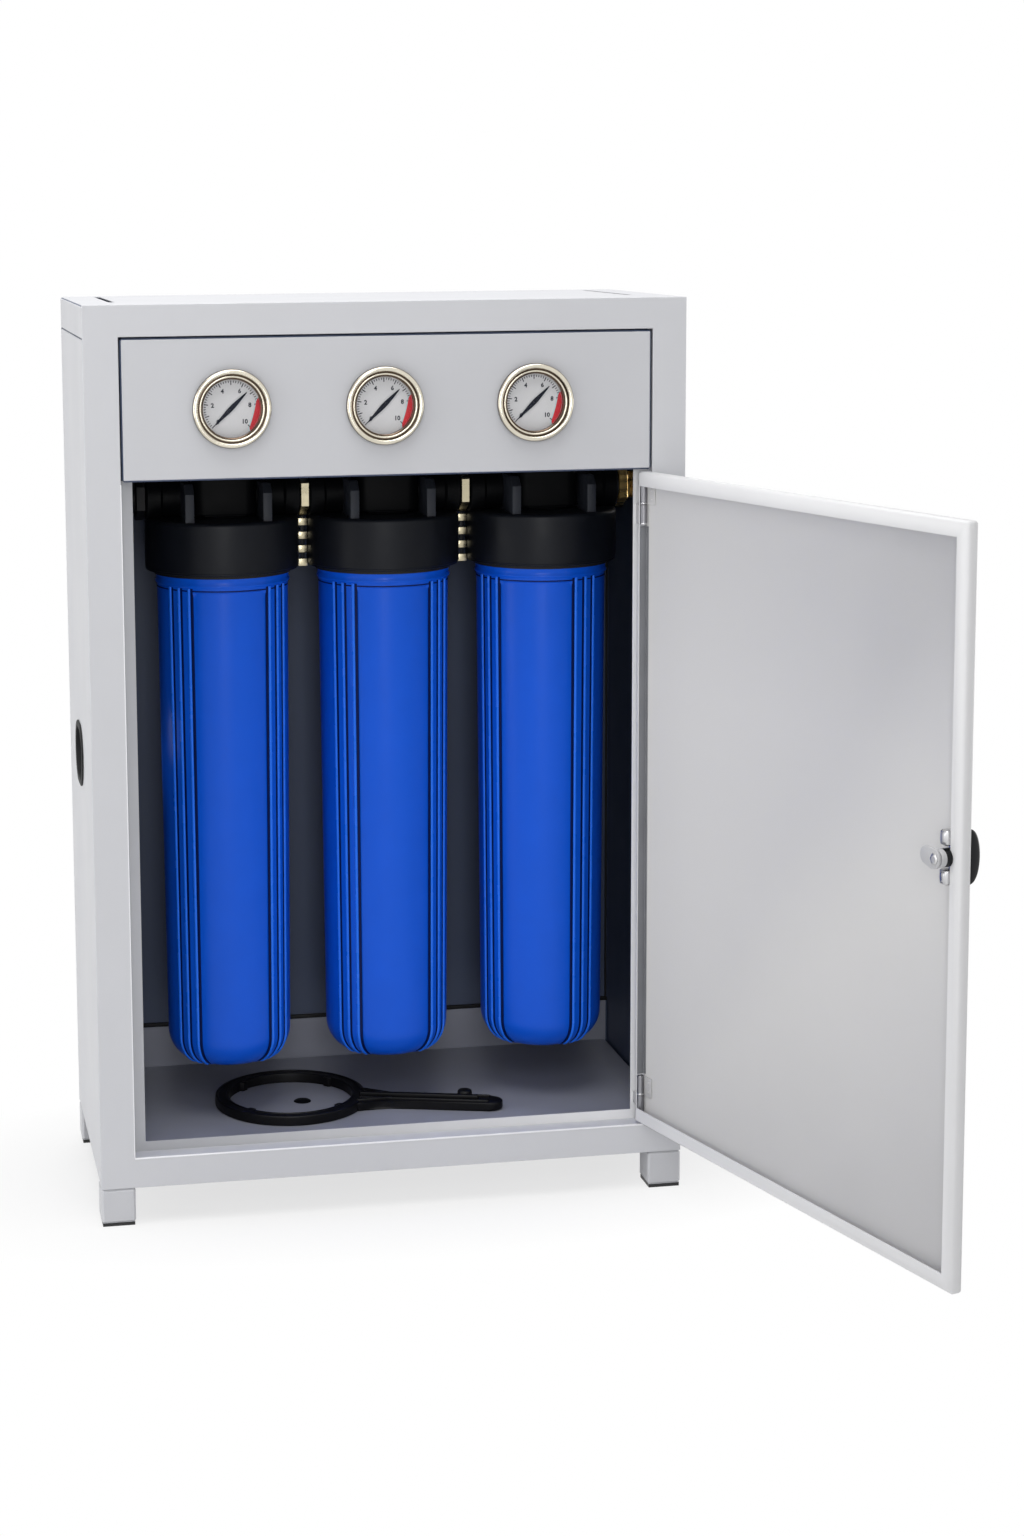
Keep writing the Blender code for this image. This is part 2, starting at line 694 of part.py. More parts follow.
def make_sides(root):
    """Both side panels with their pipe holes, and the rubber edging of the left one."""
    left = make_side_panel(root, "side_panel_left", -1)
    hole = plate("pipe_hole", obround(PIPE_HOLE_LENGTH, PIPE_HOLE_HEIGHT), 2 * SIDE_FLANGE, PAINT)
    upright = (math.pi / 2, 0, math.pi / 2)
    place(hole, root, (-CABINET_WIDTH / 2, PIPE_HOLE_Y, PIPE_HOLE_Z), upright)
    cut(left, hole)

    right = make_side_panel(root, "side_panel_right", 1)
    outlet = cylinder("outlet_hole", OUTLET_HOLE_RADIUS, -SIDE_FLANGE, SIDE_FLANGE, PAINT)
    place(outlet, root, (CABINET_WIDTH / 2, HOUSING_Y, PORT_Z), (0, math.pi / 2, 0))
    cut(right, outlet)

    sleeve_length = PIPE_HOLE_LENGTH - 2 * GAP
    sleeve_height = PIPE_HOLE_HEIGHT - 2 * GAP
    depth = SHEET + 2 * GAP + 2 * GROMMET_THICKNESS
    bore = obround(sleeve_length - 2 * GROMMET_WALL, sleeve_height - 2 * GROMMET_WALL)
    rim = obround(sleeve_length - GROMMET_WALL, sleeve_height - GROMMET_WALL)
    grommet = plate("side_grommet", obround(sleeve_length, sleeve_height), depth - 2 * GAP, SEAL_RUBBER, [bore])
    middle_x = -CABINET_WIDTH / 2 + SHEET / 2
    place(grommet, root, (middle_x, PIPE_HOLE_Y, PIPE_HOLE_Z), upright)
    lip_outline = obround(PIPE_HOLE_LENGTH + 2 * GROMMET_LIP, PIPE_HOLE_HEIGHT + 2 * GROMMET_LIP)
    lip_shift = (depth - GROMMET_THICKNESS) / 2
    for label, shift in (("outer", -lip_shift), ("inner", lip_shift)):
        lip = plate(f"grommet_lip_{label}", lip_outline, GROMMET_THICKNESS, SEAL_RUBBER, [rim])
        place(lip, root, (middle_x + shift, PIPE_HOLE_Y, PIPE_HOLE_Z), upright)
        join(grommet, lip)


def make_back_panel(root):
    """Flat back panel screwed on behind the side panels."""
    half_width = CABINET_WIDTH / 2
    back = box("back_panel", (-half_width, CABINET_DEPTH - SHEET, FOOT_HEIGHT),
               (half_width, CABINET_DEPTH, SIDE_TOP), PAINT)
    back.parent = root
    bevel(back, EDGE_ROUND)


def make_top_cover(root):
    """Lid with skirts on three sides and a slot near each end."""
    half_width = CABINET_WIDTH / 2
    cover = sheet_box("top_cover", (-half_width, SIDE_FRONT, BODY_TOP - COVER_SKIRT),
                      (half_width, CABINET_DEPTH, BODY_TOP), [(0, 0, -1), (0, -1, 0)], PAINT)
    cover.parent = root
    slot_x = half_width - SLOT_EDGE_DISTANCE
    slot_y = CABINET_DEPTH - SLOT_BACK_DISTANCE - SLOT_LENGTH / 2
    for label, side in (("left", -1), ("right", 1)):
        slot = plate(f"cover_slot_{label}", obround(SLOT_LENGTH, SLOT_WIDTH, 4), 2 * OVERRUN, PAINT)
        place(slot, root, (side * slot_x, slot_y, BODY_TOP), (0, 0, math.pi / 2))
        cut(cover, slot)


def make_floor_tray(root):
    """Raised floor with its edges folded down, a rear upstand and a drain hole."""
    tray = sheet_box("floor_tray", (-TRAY_HALF_WIDTH, TRAY_FRONT, TRAY_BOTTOM),
                     (TRAY_HALF_WIDTH, TRAY_BACK, FLOOR_HEIGHT), [(0, 0, -1)], PAINT)
    upstand = box("tray_upstand", (-TRAY_HALF_WIDTH, TRAY_BACK - SHEET, FLOOR_HEIGHT - BEND_RADIUS - SHEET),
                  (TRAY_HALF_WIDTH, TRAY_BACK, FLOOR_HEIGHT + TRAY_UPSTAND), PAINT)
    drain = cylinder("drain_hole", DRAIN_HOLE_RADIUS, -OVERRUN, OVERRUN, PAINT, TINY_STEPS)
    for item in (tray, upstand):
        item.parent = root
    place(drain, root, (DRAIN_HOLE_X, DRAIN_HOLE_Y, FLOOR_HEIGHT))
    join(tray, upstand)
    cut(tray, drain)


def make_foot(root, name, side_x, side_y):
    """Square foot with a black pad, side_x and side_y say which corner it stands under."""
    centre_x = side_x * (CABINET_WIDTH - FOOT_WIDTH) / 2
    centre_y = FOOT_WIDTH / 2 if side_y < 0 else CABINET_DEPTH - FOOT_WIDTH / 2
    half = FOOT_WIDTH / 2
    top = FOOT_HEIGHT - GAP
    foot = box(name, (centre_x - half, centre_y - half, PAD_HEIGHT),
               (centre_x + half, centre_y + half, top), PAINT)
    half_pad = half - PAD_INSET
    pad = box(f"{name}_pad", (centre_x - half_pad, centre_y - half_pad, 0),
              (centre_x + half_pad, centre_y + half_pad, PAD_HEIGHT + EDGE_ROUND), SEAL_RUBBER)
    for item in (foot, pad):
        item.parent = root
    bevel(foot, FOOT_ROUND)
    join(foot, pad)


def make_feet(root):
    """The four feet."""
    for label_y, side_y in (("front", -1), ("rear", 1)):
        for label_x, side_x in (("left", -1), ("right", 1)):
            make_foot(root, f"foot_{label_y}_{label_x}", side_x, side_y)


# Gauge panel and gauges

def make_gauge_panel(root):
    """Panel with folded edges and a hole for each gauge."""
    half_width = OPENING_HALF_WIDTH - PANEL_CLEARANCE
    panel = sheet_box("gauge_panel", (-half_width, 0, PANEL_BOTTOM), (half_width, PANEL_DEPTH, PANEL_TOP),
                      [(0, 1, 0)], PANEL_PAINT)
    panel.parent = root
    for number in range(HOUSING_COUNT):
        hole = cylinder(f"gauge_hole_{number + 1}", CASE_RADIUS + CASE_HOLE_CLEARANCE, -OVERRUN, OVERRUN,
                        PANEL_PAINT)
        place(hole, root, (gauge_x(number), 0, GAUGE_Z), (math.pi / 2, 0, 0))
        cut(panel, hole)


def make_gauge(root, number):
    """One pressure gauge: case, dial, needle and bezel, built facing +Z and then turned to the front."""
    axis = frame_empty(f"gauge_axis_{number}", root, (gauge_x(number - 1), 0, GAUGE_Z), (math.pi / 2, 0, 0))
    inner = CASE_RADIUS - CASE_WALL
    front = GAP + FLANGE_THICKNESS
    case = turned(f"gauge_case_{number}", [
        (0, -CASE_DEPTH + CASE_WALL), (inner, -CASE_DEPTH + CASE_WALL), (inner, front), (FLANGE_RADIUS, front),
        (FLANGE_RADIUS, GAP), (CASE_RADIUS, GAP), (CASE_RADIUS, -CASE_DEPTH), (STEM_RADIUS, -CASE_DEPTH),
        (STEM_RADIUS, -CASE_DEPTH - STEM_LENGTH), (0, -CASE_DEPTH - STEM_LENGTH)], BLACK_PLASTIC)
    case.parent = axis

    dial = cylinder(f"gauge_dial_{number}", DIAL_RADIUS, -DIAL_DEPTH - DIAL_THICKNESS, -DIAL_DEPTH, DIAL_WHITE)
    spindle_hole = cylinder(f"spindle_hole_{number}", NEEDLE_HUB_RADIUS + GAP, -DIAL_DEPTH - OVERRUN,
                            -DIAL_DEPTH + OVERRUN, DIAL_WHITE, TINY_STEPS)
    dial.parent = axis
    spindle_hole.parent = axis
    cut(dial, spindle_hole)

    back = front + GAP
    crest = back + BEZEL_HEIGHT
    foot = -DIAL_DEPTH + NEEDLE_CLEARANCE
    land = DIAL_RADIUS - BEZEL_ROUND
    bezel = turned(f"gauge_bezel_{number}", [
        (BEZEL_RADIUS - BEZEL_ROUND, crest), (BEZEL_RADIUS, crest - BEZEL_ROUND), (BEZEL_RADIUS, back),
        (inner - GAP, back), (land, foot), (BEZEL_INNER_RADIUS, foot), (BEZEL_INNER_RADIUS, back),
        (inner, crest - BEZEL_GROOVE)], BEZEL_METAL, BIG_STEPS, closed=True)
    bezel.parent = axis

    half_tip = NEEDLE_TIP / 2
    half_width = NEEDLE_WIDTH / 2
    pointer = [(NEEDLE_LENGTH, -half_tip), (NEEDLE_LENGTH, half_tip), (0, half_width), (-NEEDLE_TAIL, half_tip),
               (-NEEDLE_TAIL, -half_tip), (0, -half_width)]
    needle = plate(f"gauge_needle_{number}", pointer, NEEDLE_THICKNESS, NEEDLE_BLUE)
    needle_z = -DIAL_DEPTH + NEEDLE_CLEARANCE + NEEDLE_THICKNESS / 2
    place(needle, axis, (0, 0, needle_z), (0, 0, NEEDLE_ZERO))
    hub = cylinder(f"needle_hub_{number}", NEEDLE_HUB_RADIUS, -DIAL_DEPTH - NEEDLE_HUB_DEPTH,
                   needle_z + NEEDLE_THICKNESS, NEEDLE_BLUE, TINY_STEPS)
    hub.parent = axis
    join(needle, hub)


def make_gauge_tube(root, number):
    """Copper tube from the back of a gauge down to the top of its cap."""
    start = Vector((gauge_x(number - 1), CASE_DEPTH + STEM_LENGTH + GAP, GAUGE_Z))
    end = Vector((housing_x(number - 1), HOUSING_Y - TUBE_PORT_OFFSET, HEAD_TOP_Z + GAP))
    corner_back = Vector((start.x, end.y, start.z))
    corner_low = Vector((end.x, end.y, end.z + TUBE_SOCKET + TUBE_BEND))
    path = filleted_path([start, corner_back, corner_low, end], TUBE_BEND / 2)
    tube(f"gauge_tube_{number}", path, TUBE_RADIUS, COPPER).parent = root


# Door

def door_local(x, y, z):
    """A point of the closed door, given in the cabinet frame, in the door's own frame."""
    return x - PIVOT_X, y - PIVOT_Y, z


def hinge_bottoms():
    """Bottom height of each hinge."""
    return {"top": DOOR_TOP - HINGE_TOP_DISTANCE - HINGE_LENGTH, "bottom": DOOR_BOTTOM + HINGE_BOTTOM_DISTANCE}


def make_door_panel(door_axis):
    """Pan-shaped door leaf with folded lips, notched round the hinges and pierced for the latch."""
    leaf = sheet_box("door_panel", door_local(DOOR_LEFT, 0, DOOR_BOTTOM),
                     door_local(DOOR_RIGHT, DOOR_THICKNESS, DOOR_TOP), [], PAINT, (0, 1, 0), DOOR_LIP)
    leaf.parent = door_axis
    for label, bottom in hinge_bottoms().items():
        notch = box(f"hinge_notch_{label}",
                    (-KNUCKLE_RADIUS - HINGE_NOTCH_CLEARANCE, SHEET - PIVOT_Y + GAP / 2,
                     bottom - HINGE_NOTCH_CLEARANCE),
                    (PIVOT_EDGE_INSET, DOOR_THICKNESS, bottom + HINGE_LENGTH + HINGE_NOTCH_CLEARANCE), PAINT)
        notch.parent = door_axis
        cut(leaf, notch)
    hole = cylinder("latch_hole", LATCH_BARREL_RADIUS + GAP, -DOOR_THICKNESS - OVERRUN, OVERRUN, PAINT)
    place(hole, door_axis, door_local(LATCH_X, 0, LATCH_Z), (math.pi / 2, 0, 0))
    cut(leaf, hole)


def make_hinge(root, door_axis, label, bottom):
    """One hinge: the frame half with its pin below, the door half with its knuckle above."""
    middle = bottom + HINGE_LENGTH / 2
    reach = PIVOT_EDGE_INSET - GAP
    rear = STRIP_Y - GAP - PIVOT_Y
    block_outline = [(-KNUCKLE_RADIUS, 0), (0, 0), (0, HINGE_BLOCK_RISE), (reach, HINGE_BLOCK_RISE),
                     (reach, rear), (-KNUCKLE_RADIUS, rear)]
    height = HINGE_LENGTH / 2 - GAP
    frame_half = plate(f"hinge_frame_half_{label}", block_outline, height, ZINC)
    place(frame_half, root, (PIVOT_X, PIVOT_Y, bottom + height / 2))
    knuckle = cylinder(f"hinge_knuckle_{label}", KNUCKLE_RADIUS, bottom, bottom + height, ZINC, TINY_STEPS)
    pin_top = bottom + HINGE_LENGTH - GAP
    pin = cylinder(f"hinge_pin_{label}", HINGE_PIN_RADIUS, bottom + GAP, pin_top, ZINC, TINY_STEPS)
    for item in (knuckle, pin):
        place(item, root, (PIVOT_X, PIVOT_Y, 0))
    join(frame_half, knuckle, pin)

    upper = cylinder(f"hinge_door_half_{label}", KNUCKLE_RADIUS, middle, bottom + HINGE_LENGTH, ZINC,
                     TINY_STEPS)
    leaf_bottom = -KNUCKLE_RADIUS
    leaf = box(f"hinge_leaf_{label}", (-HINGE_LEAF_WIDTH, leaf_bottom, middle),
               (0, leaf_bottom + SHEET, bottom + HINGE_LENGTH), ZINC)
    bore = cylinder(f"hinge_bore_{label}", HINGE_PIN_RADIUS + HINGE_PIN_CLEARANCE, middle - OVERRUN,
                    bottom + HINGE_LENGTH + OVERRUN, ZINC, TINY_STEPS)
    for item in (upper, leaf, bore):
        item.parent = door_axis
    join(upper, leaf)
    cut(upper, bore)


def make_latch(door_axis):
    """Cam latch: black body, zinc bracket inside the door, D-shaped handle outside and cam tongue."""
    axis = frame_empty("latch_axis", door_axis, door_local(LATCH_X, 0, LATCH_Z), (math.pi / 2, 0, 0))
    inner_end = -CAM_Y + GAP
    plate_front = -SHEET - GAP
    plate_back = plate_front - BRACKET_PLATE_THICKNESS
    body = turned("latch_body", [
        (LATCH_SHAFT_RADIUS + GAP, LATCH_FLANGE_THICKNESS), (LATCH_FLANGE_RADIUS - EDGE_ROUND,
                                                             LATCH_FLANGE_THICKNESS),
        (LATCH_FLANGE_RADIUS, LATCH_FLANGE_THICKNESS - EDGE_ROUND), (LATCH_FLANGE_RADIUS, GAP),
        (LATCH_BARREL_RADIUS, GAP), (LATCH_BARREL_RADIUS, inner_end),
        (LATCH_SHAFT_RADIUS + GAP, inner_end)], BLACK_PLASTIC, SMALL_STEPS, closed=True)
    body.parent = axis

    outline = rounded_rectangle(BRACKET_PLATE_WIDTH, BRACKET_PLATE_HEIGHT, EDGE_ROUND + BEND_RADIUS)
    bracket = plate("latch_bracket", outline, BRACKET_PLATE_THICKNESS, ZINC)
    place(bracket, axis, (0, 0, (plate_front + plate_back) / 2))
    for label, side in (("upper", 1), ("lower", -1)):
        end = side * BRACKET_PLATE_HEIGHT / 2
        start = side * (BRACKET_PLATE_HEIGHT / 2 - BRACKET_LUG_HEIGHT)
        half = LATCH_BARREL_RADIUS / 2
        lug = box(f"latch_lug_{label}", (-half, min(start, end), plate_back - BRACKET_LUG_DEPTH),
                  (half, max(start, end), plate_front - EDGE_ROUND), ZINC)
        lug.parent = axis
        bevel(lug, BRACKET_PLATE_THICKNESS - EDGE_ROUND, 2)
        join(bracket, lug)
    bracket_hole = cylinder("latch_bracket_hole", LATCH_BARREL_RADIUS + GAP, -OVERRUN, OVERRUN, ZINC)
    bracket_hole.parent = axis
    cut(bracket, bracket_hole)

    handle_low = LATCH_FLANGE_THICKNESS + GAP
    bow = [(x * HANDLE_LENGTH / 2, y * HANDLE_RISE) for x, y in arc((0, 0), 1, 0, math.pi, 12)]
    handle = plate("latch_handle", bow, HANDLE_WIDTH, BLACK_PLASTIC)
    place(handle, axis, (0, 0, handle_low), (math.pi / 2, 0, math.pi / 2))
    bevel(handle, HANDLE_ROUND, 2)
    shaft_end = -CAM_Y - CAM_THICKNESS - CAM_THICKNESS
    shaft = cylinder("latch_shaft", LATCH_SHAFT_RADIUS, shaft_end, handle_low + HANDLE_RISE / 2, ZINC, TINY_STEPS)
    shaft.parent = axis
    join(handle, shaft)

    corner_x = CAM_REACH - CAM_CORNER
    corner_y = CAM_WIDTH / 2 - CAM_CORNER
    tongue = arc((0, 0), CAM_TAIL, math.pi / 2, 3 * math.pi / 2, 6)
    tongue += arc((corner_x, -corner_y), CAM_CORNER, -math.pi / 2, 0, 3)
    tongue += arc((corner_x, corner_y), CAM_CORNER, 0, math.pi / 2, 3)
    cam = plate("latch_cam", tongue, CAM_THICKNESS, ZINC,
                [arc((0, 0), LATCH_SHAFT_RADIUS + GAP, 0, 2 * math.pi * 11 / 12, 11)])
    place(cam, axis, (0, 0, -CAM_Y - CAM_THICKNESS / 2))


def make_door(root):
    """The door leaf with its hinges and latch, standing open."""
    door_axis = frame_empty("door_axis", root, (PIVOT_X, PIVOT_Y, 0), (0, 0, DOOR_OPEN))
    make_door_panel(door_axis)
    for label, bottom in hinge_bottoms().items():
        make_hinge(root, door_axis, label, bottom)
    make_latch(door_axis)


# Filter housings

def make_head(axis, number):
    """Black cap: turned skirt, hub and waterway, two ports, gusset fins and a button boss."""
    name = f"filter_head_{number}"
    bore = NECK_RADIUS + THREAD_CLEARANCE
    head = turned(name, [
        (0, HUB_HEIGHT), (HUB_RADIUS, HUB_HEIGHT), (HUB_RADIUS + SKIRT_ROUND, HUB_HEIGHT - 2 * SKIRT_ROUND),
        (HUB_FOOT_RADIUS, SKIRT_HEIGHT + SKIRT_ROUND), (SKIRT_RADIUS - SKIRT_ROUND, SKIRT_HEIGHT),
        (SKIRT_RADIUS, SKIRT_HEIGHT - SKIRT_ROUND), (SKIRT_RADIUS, 0), (bore, 0), (bore, ROOF_INSIDE),
        (STANDPIPE_RADIUS, ROOF_INSIDE), (STANDPIPE_RADIUS, STANDPIPE_END), (WATERWAY_RADIUS, STANDPIPE_END),
        (WATERWAY_RADIUS, PORT_HEIGHT), (0, PORT_HEIGHT)], BLACK_PLASTIC, BIG_STEPS)
    head.parent = axis

    arms = cylinder(f"port_arms_{number}", PORT_RADIUS, -SKIRT_RADIUS, SKIRT_RADIUS, BLACK_PLASTIC)
    place(arms, axis, (0, 0, PORT_HEIGHT), (0, math.pi / 2, 0))
    join(head, arms)
    fin_base = SKIRT_HEIGHT - SKIRT_ROUND
    fin_top = fin_base + SKIRT_ROUND + FIN_HEIGHT
    fin_outline = [(-FIN_REACH, fin_base), (FIN_REACH, fin_base), (FIN_REACH, fin_top - FIN_THICKNESS),
                   (FIN_REACH - FIN_THICKNESS, fin_top), (-FIN_REACH + FIN_THICKNESS, fin_top),
                   (-FIN_REACH, fin_top - FIN_THICKNESS)]
    for label, side in (("left", -1), ("right", 1)):
        fin = plate(f"fin_{label}_{number}", fin_outline, FIN_THICKNESS, BLACK_PLASTIC)
        place(fin, axis, (side * FIN_OFFSET, 0, 0), (math.pi / 2, 0, math.pi / 2))
        join(head, fin)
    boss_top = HUB_HEIGHT + BUTTON_BOSS_HEIGHT
    boss = cylinder(f"button_boss_{number}", BUTTON_BOSS_RADIUS, HUB_HEIGHT - SKIRT_ROUND, boss_top,
                    BLACK_PLASTIC, TINY_STEPS)
    boss.parent = axis
    join(head, boss)

    outlet = cylinder(f"outlet_bore_{number}", PORT_BORE, 0, SKIRT_RADIUS + OVERRUN, BLACK_PLASTIC)
    inlet = cylinder(f"inlet_bore_{number}", PORT_BORE, -SKIRT_RADIUS - OVERRUN, -FIN_OFFSET, BLACK_PLASTIC)
    for item in (outlet, inlet):
        place(item, axis, (0, 0, PORT_HEIGHT), (0, math.pi / 2, 0))
    feed = cylinder(f"feed_hole_{number}", FEED_HOLE_RADIUS, ROOF_INSIDE - OVERRUN, PORT_HEIGHT, BLACK_PLASTIC,
                    TINY_STEPS)
    place(feed, axis, (-FIN_OFFSET - FEED_HOLE_RADIUS, 0, 0))
    stem_hole = cylinder(f"stem_hole_{number}", BUTTON_STEM_RADIUS + BUTTON_STEM_CLEARANCE,
                         boss_top - BUTTON_STEM_LENGTH - BUTTON_TRAVEL, boss_top + OVERRUN, BLACK_PLASTIC, TINY_STEPS)
    stem_hole.parent = axis
    cut(head, outlet, inlet, feed, stem_hole)


def make_button(axis, number):
    """Red pressure relief button, standing proud by its travel."""
    seat = HUB_HEIGHT + BUTTON_BOSS_HEIGHT + BUTTON_TRAVEL + GAP
    button = turned(f"relief_button_{number}", [
        (0, seat + BUTTON_CAP), (BUTTON_RADIUS - EDGE_ROUND, seat + BUTTON_CAP),
        (BUTTON_RADIUS, seat + BUTTON_CAP - EDGE_ROUND), (BUTTON_RADIUS, seat), (BUTTON_STEM_RADIUS, seat),
        (BUTTON_STEM_RADIUS, seat - BUTTON_STEM_LENGTH), (0, seat - BUTTON_STEM_LENGTH)],
        BUTTON_RED, TINY_STEPS)
    button.parent = axis


def wall_bottom():
    """Height where the straight wall of a sump ends and its bottom radius starts."""
    return -SUMP_LENGTH + SUMP_BOTTOM_RADIUS


def sump_directions():
    """Directions round the sump that carry vertices, each with whether it is the crest of a rib."""
    group = RIBS_PER_GROUP * RIB_SPACING
    directions = []
    for half in (0, 1):
        stretches = [(-RIB_GROUP_START, RIB_GROUP_START, PLAIN_FRONT_FACETS, False),
                     (RIB_GROUP_START, RIB_GROUP_START + group, 2 * RIBS_PER_GROUP, True),
                     (RIB_GROUP_START + group, math.pi - RIB_GROUP_START - group, PLAIN_SIDE_FACETS, False),
                     (math.pi - RIB_GROUP_START - group, math.pi - RIB_GROUP_START, 2 * RIBS_PER_GROUP, True)]
        for start, end, facets, ribbed in stretches:
            for number in range(facets):
                angle = half * math.pi + start + (end - start) * number / facets
                directions.append((angle, ribbed and number % 2 == 1))
    return directions


def sump_rows():
    """Rings of the sump from its neck down, as (radius, height, rib lift outward, rib drop downward)."""
    wall_top = -COLLAR_HEIGHT - GROOVE_HEIGHT
    rows = [(NECK_RADIUS, NECK_TOP, 0, 0), (NECK_RADIUS, -GAP, 0, 0), (COLLAR_RADIUS, -GAP, 0, 0),
            (COLLAR_RADIUS, -GAP - COLLAR_HEIGHT, 0, 0), (WALL_RADIUS_TOP, wall_top, 0, 0),
            (WALL_RADIUS_TOP, wall_top - 2 * GROOVE_HEIGHT, RIB_HEIGHT, 0)]
    centre = (WALL_RADIUS_BOTTOM - SUMP_BOTTOM_RADIUS, wall_bottom())
    facets = 3
    for number, (radius, height) in enumerate(arc(centre, SUMP_BOTTOM_RADIUS, 0, -math.pi / 2, facets)):
        slope = math.pi / 2 * number / facets
        rows.append((radius, height, RIB_HEIGHT * math.cos(slope) ** 2,
                     RIB_HEIGHT * math.cos(slope) * math.sin(slope)))
    return rows


def ribbed_body(name, surface):
    """Loft the solid outer body of a sump through its rings."""
    bm = bmesh.new()
    rings = []
    for radius, height, lift, drop in sump_rows():
        ring = []
        for angle, crest in sump_directions():
            reach = radius + (lift if crest else 0)
            ring.append(bm.verts.new((reach * math.sin(angle), -reach * math.cos(angle),
                                      height - (drop if crest else 0))))
        rings.append(ring)
    for upper, lower in zip(rings, rings[1:]):
        for here in range(len(upper)):
            after = (here + 1) % len(upper)
            bm.faces.new((upper[here], lower[here], lower[after], upper[after]))
    bm.faces.new(rings[0])
    bm.faces.new(rings[-1])
    bmesh.ops.recalc_face_normals(bm, faces=bm.faces)
    return smooth(add_object(name, mesh_from(bm, name), surface))


def make_sump(axis, number):
    """Blue sump: threaded neck, collar, ribbed wall and rounded bottom, hollowed out from the top."""
    sump = ribbed_body(f"filter_sump_{number}", BLUE_PLASTIC)
    place(sump, axis, (0, 0, 0), (0, 0, SUMP_TURNS[number - 1]))
    centre = (WALL_RADIUS_BOTTOM - SUMP_BOTTOM_RADIUS, wall_bottom())
    profile = [(0, NECK_TOP + OVERRUN), (NECK_RADIUS - SUMP_WALL, NECK_TOP + OVERRUN),
               (WALL_RADIUS_TOP - SUMP_WALL, -COLLAR_HEIGHT)]
    profile += arc(centre, SUMP_BOTTOM_RADIUS - SUMP_WALL, 0, -math.pi / 2, 3)
    profile.append((0, -SUMP_LENGTH + SUMP_WALL))
    cavity = turned(f"sump_cavity_{number}", profile, BLUE_PLASTIC)
    cavity.parent = axis
    cut(sump, cavity)


def make_seal(axis, number):
    """Rubber ring between the sump's neck and the roof of the cap."""
    profile = arc((NECK_RADIUS - SUMP_WALL / 2, NECK_TOP + GAP + SEAL_RADIUS), SEAL_RADIUS,
                  math.pi / 2, -math.pi, 3)
    seal = turned(f"sealing_ring_{number}", profile, SEAL_RUBBER, SMALL_STEPS, closed=True)
    seal.parent = axis


def make_cartridge(axis, number):
    """Filter cartridge standing on the sump's floor under the standpipe of the cap."""
    low = -SUMP_LENGTH + SUMP_WALL + GAP
    high = STANDPIPE_END - GAP
    media = CARTRIDGE_RADIUS - CARTRIDGE_CAP_LIP
    foot_radius = WALL_RADIUS_BOTTOM - SUMP_BOTTOM_RADIUS
    cartridge = turned(f"filter_cartridge_{number}", [
        (CARTRIDGE_BORE, high), (CARTRIDGE_RADIUS, high), (CARTRIDGE_RADIUS, high - CARTRIDGE_CAP_HEIGHT),
        (media, high - CARTRIDGE_CAP_HEIGHT), (media, low + CARTRIDGE_CAP_HEIGHT),
        (foot_radius, low + CARTRIDGE_CAP_HEIGHT), (foot_radius, low), (CARTRIDGE_BORE, low)],
        FILTER_MEDIA, TINY_STEPS, closed=True)
    cartridge.parent = axis


def make_housings(root):
    """The three filter housings in a row."""
    for number in range(1, HOUSING_COUNT + 1):
        axis = frame_empty(f"housing_axis_{number}", root, (housing_x(number - 1), HOUSING_Y, SKIRT_BOTTOM_Z))
        make_head(axis, number)
        make_button(axis, number)
        make_sump(axis, number)
        make_seal(axis, number)
        make_cartridge(axis, number)


# Pipework and the pieces that hold the caps

def hexagon(name, start, end):
    """Hexagonal prism along Z, a flat side downward when it lies along X."""
    return cylinder(name, HEX_RADIUS, start, end, BRASS, 6)


def make_nipple(root, number):
    """Hex nipple between two caps."""
    half_hex = (HOUSING_PITCH - 2 * SKIRT_RADIUS) / 2 - GAP
    half_length = half_hex + THREAD_LENGTH
    nipple = cylinder(f"hex_nipple_{number}", THREAD_RADIUS, -half_length, half_length, BRASS)
    hexagon_ring = hexagon(f"nipple_hex_{number}", -half_hex, half_hex)
    bore = cylinder(f"nipple_bore_{number}", FITTING_BORE, -half_length - OVERRUN, half_length + OVERRUN, BRASS,
                    TINY_STEPS)
    middle_x = (housing_x(number - 1) + housing_x(number)) / 2
    for item in (nipple, hexagon_ring, bore):
        place(item, root, (middle_x, HOUSING_Y, PORT_Z), (0, math.pi / 2, 0))
    join(nipple, hexagon_ring)
    cut(nipple, bore)


def make_strap(root, number):
    """Toothed spacer strap that hangs under a nipple between two cap skirts."""
    half_strap = STRAP_WIDTH / 2
    half_tooth = (HOUSING_PITCH - 2 * SKIRT_RADIUS) / 2 - GAP
    top = PORT_Z - HEX_RADIUS - GAP
    outline = [(half_strap, top)]
    mirrored = [(-half_strap, top)]
    for tooth in range(STRAP_TEETH):
        tooth_top = top - half_strap - tooth * STRAP_TOOTH_PITCH
        tooth_bottom = tooth_top - STRAP_TOOTH_HEIGHT
        steps = [(half_strap, tooth_top), (half_tooth, tooth_top), (half_tooth, tooth_bottom),
                 (half_strap, tooth_bottom)]
        outline += steps
        mirrored += [(-x, z) for x, z in steps]
    strap = plate(f"spacer_strap_{number}", outline + mirrored[::-1], STRAP_THICKNESS, BRASS)
    middle_x = (housing_x(number - 1) + housing_x(number)) / 2
    place(strap, root, (middle_x, HOUSING_Y, 0), (math.pi / 2, 0, 0))


